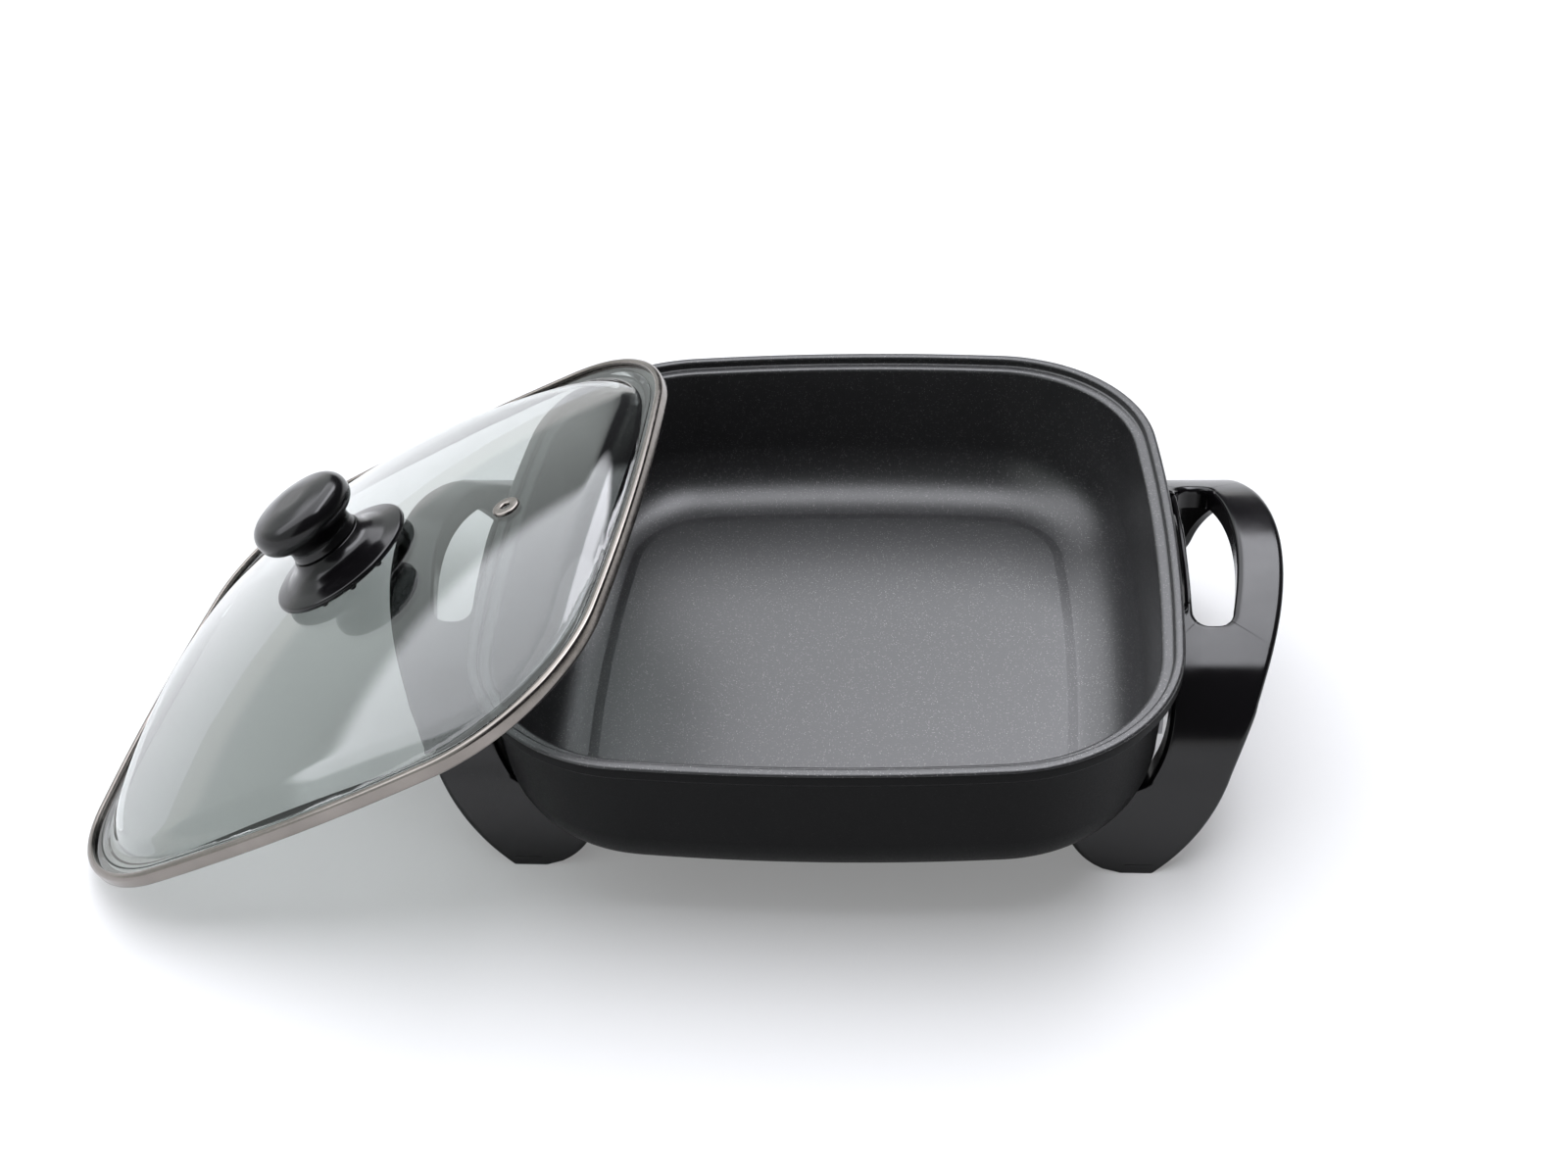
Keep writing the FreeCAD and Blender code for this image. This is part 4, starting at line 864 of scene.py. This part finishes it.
VENT_PLACE = 89.0
VENT_HOLE = 2.0
VENT_RING = 6.5
VENT_BARREL = 3.4
VENT_TOP = 32.95
VENT_SEAT = 32.05
VENT_END = 28.2
vent_turn = np.arcsin(VENT_PLACE / BALL)
ball_middle = np.array([0.0, 0.0, DOME_TOP - BALL])
vent_axes = np.array([
    (np.cos(vent_turn), 0.0, -np.sin(vent_turn)),
    (0.0, 1.0, 0.0),
    (np.sin(vent_turn), 0.0, np.cos(vent_turn)),
])
vent_origin = ball_middle - ball_middle @ vent_axes
VENT = np.vstack([vent_axes @ LID[:3], vent_origin @ LID[:3] + LID[3]])
vent_line = rounded_line([
    (VENT_HOLE, VENT_END),
    (VENT_HOLE, VENT_TOP),
    (VENT_RING, VENT_TOP),
    (VENT_RING, VENT_SEAT),
    (VENT_BARREL, VENT_SEAT),
    (VENT_BARREL, VENT_END),
], [0.2, 0.8, 0.8, 0, 0, 0.2], steps=7)
angle = np.linspace(0, 2 * np.pi, 64, endpoint=False)
ring = np.stack([vent_line[:, 0] * np.cos(angle)[:, None], vent_line[:, 0] * np.sin(angle)[:, None],
                 np.broadcast_to(vent_line[:, 1], (64, len(vent_line)))], axis=2)
vent = skin("vent_eyelet", ring @ VENT[:3] + VENT[3], "lid", [polished], loop=True)
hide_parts("vent_grommet")
back_ring = frame["nodes"]["vent_back_ring"].data
back_ring.materials.clear()
back_ring.materials.append(polished)

# Knob
# Two glossy black phenolic mouldings on one screw through the glass: a flared skirt with small feet under
# its rim, so that the hot glass heats it less, and a waisted cap to hold.

SKIRT_BASE = 33.55
SKIRT = 35.5
glass_sag = BALL - np.sqrt(BALL ** 2 - SKIRT ** 2)
lift = SKIRT_BASE - glass_sag
skirt_line = rounded_line([
    (3.3, SKIRT_BASE),
    (14.0, SKIRT_BASE),
    (24.0, lift + 3.8),
    (SKIRT - 2.4, lift + 1.6),
    (SKIRT, lift + 1.6),
    (SKIRT, lift + 4.2),
    (SKIRT - 8.0, lift + 6.0),
    (SKIRT - 15.8, SKIRT_BASE + 8.4),
    (17.6, SKIRT_BASE + 13.0),
    (3.3, SKIRT_BASE + 13.0),
], [0, 2.0, 8.0, 0.5, 1.0, 1.3, 14.0, 9.0, 0.9, 0], steps=8)
skirt = turned("knob_foot", skirt_line, "lid", [phenolic], LID, columns=120)
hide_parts("knob_skirt")

NUB_COUNT = 12
NUB_PLACE = 30.0
NUB_RADIUS = 1.6
NUB_GAP = 0.6
nub_line = rounded_line([(0.05, 31.6), (NUB_RADIUS, 31.6), (NUB_RADIUS, 36.0), (0.05, 36.0)],
                        [0, 0.5, 0.3, 0], steps=4)
nub_fall = BALL - np.sqrt(BALL ** 2 - NUB_PLACE ** 2)
for number in range(NUB_COUNT):
    angle = number * 2 * np.pi / NUB_COUNT
    offset = np.array([NUB_PLACE * np.cos(angle), NUB_PLACE * np.sin(angle), NUB_GAP - nub_fall])
    nub_axis = np.vstack([LID[:3], offset @ LID[:3] + LID[3]])
    nub = turned("knob_nub_%02d" % number, nub_line, "lid", [phenolic], nub_axis, columns=20)

CAP_FOOT = SKIRT_BASE + 13.05
cap_line = rounded_line([
    (0.1, CAP_FOOT),
    (17.0, CAP_FOOT),
    (16.0, CAP_FOOT + 5.0),
    (18.2, CAP_FOOT + 9.6),
    (25.0, CAP_FOOT + 10.4),
    (25.0, CAP_FOOT + 23.0),
    (11.0, CAP_FOOT + 26.0),
    (0.1, CAP_FOOT + 26.0),
], [0, 0.7, 7.0, 1.4, 6.2, 7.0, 40.0, 0], steps=12)
cap = turned("knob_grip", cap_line, "lid", [phenolic], LID, columns=120)
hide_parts("knob_cap")

# Floor and light
# A plain white surface that runs on behind the skillet, under a large bright window overhead whose edge
# slopes down to the left and whose right part is brighter. At the left stands a pale wall; the rest of
# the room is dark, so that the black parts show the window's edge.

SKYLINE = 0.535
SKYLINE_SLOPE = 0.30
SKYLINE_LOW = 0.40
DARK_WALL = (0.07, 0.07, 0.075, 1.0)
PALE_WALL = (0.72, 0.76, 0.755, 1.0)
DAYLIGHT = (2.80, 2.84, 2.98, 1.0)
BRIGHT_DAYLIGHT = (7.00, 7.05, 7.50, 1.0)
FLOOR_REACH = 12

floor_material, floor_shader, add = finish("white_surface", (0.62, 0.62, 0.62), 0.8)
floor_shader.inputs["Specular IOR Level"].default_value = 0.0
path = add("LightPath")
seen = add("Math", None, {0: path.outputs["Is Camera Ray"], 1: path.outputs["Is Glossy Ray"]},
           operation="MAXIMUM")
seen_all = add("Math", None, {0: seen.outputs["Value"], 1: path.outputs["Is Transmission Ray"]},
               operation="MAXIMUM")
glow = add("Math", {1: 0.22}, {0: seen_all.outputs["Value"]}, operation="MULTIPLY")
add.join(glow.outputs["Value"], floor_shader.inputs["Emission Strength"])
floor_shader.inputs["Emission Color"].default_value = (1, 1, 1, 1)
floor_mesh = bpy.data.meshes.new("floor")
floor_corners = [(x * FLOOR_REACH, y * FLOOR_REACH, 0) for x, y in ((-1, -1), (1, -1), (1, 1), (-1, 1))]
floor_mesh.from_pydata(floor_corners, [], [(0, 1, 2, 3)])
floor_mesh.materials.append(floor_material)
floor = bpy.data.objects.new("floor", floor_mesh)
bpy.context.scene.collection.objects.link(floor)

world = bpy.data.worlds.new("sky")
world.use_nodes = True
bpy.context.scene.world = world
sky = world.node_tree
sky_shader = sky.nodes["Background"]


def sky_node(kind, values=None, joins=None, **settings):
    """A node of the world's light, with its values set and its sockets joined by name."""
    node = sky.nodes.new("ShaderNode" + kind)
    for key, value in settings.items():
        setattr(node, key, value)
    for key, value in (values or {}).items():
        node.inputs[key].default_value = value
    for key, source in (joins or {}).items():
        sky.links.new(source, node.inputs[key])
    return node


direction = sky_node("TexCoord")
part = sky_node("SeparateXYZ", None, {"Vector": direction.outputs["Generated"]})
skyline = sky_node("Math", {1: SKYLINE_SLOPE, 2: SKYLINE}, {0: part.outputs["X"]}, operation="MULTIPLY_ADD")
lowest = sky_node("Math", {1: SKYLINE_LOW}, {0: skyline.outputs["Value"]}, operation="MAXIMUM")
above = sky_node("Math", None, {0: part.outputs["Z"], 1: lowest.outputs["Value"]}, operation="SUBTRACT")
open_sky = sky_node("MapRange", {"From Min": -0.03, "From Max": 0.03}, {"Value": above.outputs["Value"]},
                    interpolation_type="SMOOTHSTEP")
ahead_of_camera = sky_node("MapRange", {"From Min": -0.34, "From Max": -0.20}, {"Value": part.outputs["Y"]},
                           interpolation_type="SMOOTHSTEP")
left_of_wall = sky_node("MapRange", {"From Min": 0.36, "From Max": 0.26}, {"Value": part.outputs["X"]},
                        interpolation_type="SMOOTHSTEP")
front_cut = sky_node("Math", None, {0: open_sky.outputs["Result"], 1: ahead_of_camera.outputs["Result"]},
                     operation="MULTIPLY")
window = sky_node("Math", None, {0: front_cut.outputs["Value"], 1: left_of_wall.outputs["Result"]},
                  operation="MULTIPLY")
to_left = sky_node("MapRange", {"From Min": -0.26, "From Max": -0.40}, {"Value": part.outputs["X"]},
                   interpolation_type="SMOOTHSTEP")
walls = sky_node("Mix", {"A": DARK_WALL, "B": PALE_WALL}, {"Factor": to_left.outputs["Result"]},
                 data_type="RGBA")
to_right = sky_node("MapRange", {"From Min": 0.04, "From Max": 0.11}, {"Value": part.outputs["X"]},
                    interpolation_type="SMOOTHSTEP")
daylight = sky_node("Mix", {"A": DAYLIGHT, "B": BRIGHT_DAYLIGHT}, {"Factor": to_right.outputs["Result"]},
                    data_type="RGBA")
room = sky_node("Mix", None, {"Factor": window.outputs["Value"], "A": walls.outputs["Result"],
                              "B": daylight.outputs["Result"]}, data_type="RGBA")
# The camera sees white all round. Gloss and glass see it near the horizon, and the room above that.
looked_at = sky_node("LightPath")
glossy = looked_at.outputs["Is Glossy Ray"]
through_glass = looked_at.outputs["Is Transmission Ray"]
mirrored = sky_node("Math", None, {0: glossy, 1: through_glass}, operation="MAXIMUM")
near_horizon = sky_node("MapRange", {"From Min": 0.10, "From Max": 0.06}, {"Value": part.outputs["Z"]})
mirrored_low = sky_node("Math", None, {0: mirrored.outputs["Value"], 1: near_horizon.outputs["Result"]},
                        operation="MULTIPLY")
white = sky_node("Math", None, {0: looked_at.outputs["Is Camera Ray"], 1: mirrored_low.outputs["Value"]},
                 operation="MAXIMUM")
backdrop = sky_node("Mix", {"B": (1.0, 1.0, 1.0, 1.0)},
                    {"Factor": white.outputs["Value"], "A": room.outputs["Result"]}, data_type="RGBA")
sky.links.new(backdrop.outputs["Result"], sky_shader.inputs["Color"])


def soft_lamp(name, place, target, size, power, colour=(1, 1, 1)):
    """An area lamp at a place, turned so that its back points away from the target."""
    data = bpy.data.lights.new(name, "AREA")
    data.shape = "RECTANGLE"
    data.size, data.size_y = size
    data.energy = power
    data.color = colour
    lamp = bpy.data.objects.new(name, data)
    back = np.array(place, float) - np.array(target, float)
    back /= np.linalg.norm(back)
    side = np.cross((0.0, 1.0, 0.02), back)
    side /= np.linalg.norm(side)
    up = np.cross(back, side)
    columns = (side, up, back, place)
    lamp.matrix_world = Matrix([[column[axis] for column in columns] for axis in range(3)] + [(0, 0, 0, 1)])
    bpy.context.scene.collection.objects.link(lamp)


soft_lamp("overhead", (0.1, 0.5, 1.7), (0, 0, 0.1), (1.6, 1.2), 4.0, (0.95, 0.97, 1.0))

bpy.context.scene.view_settings.view_transform = "Standard"
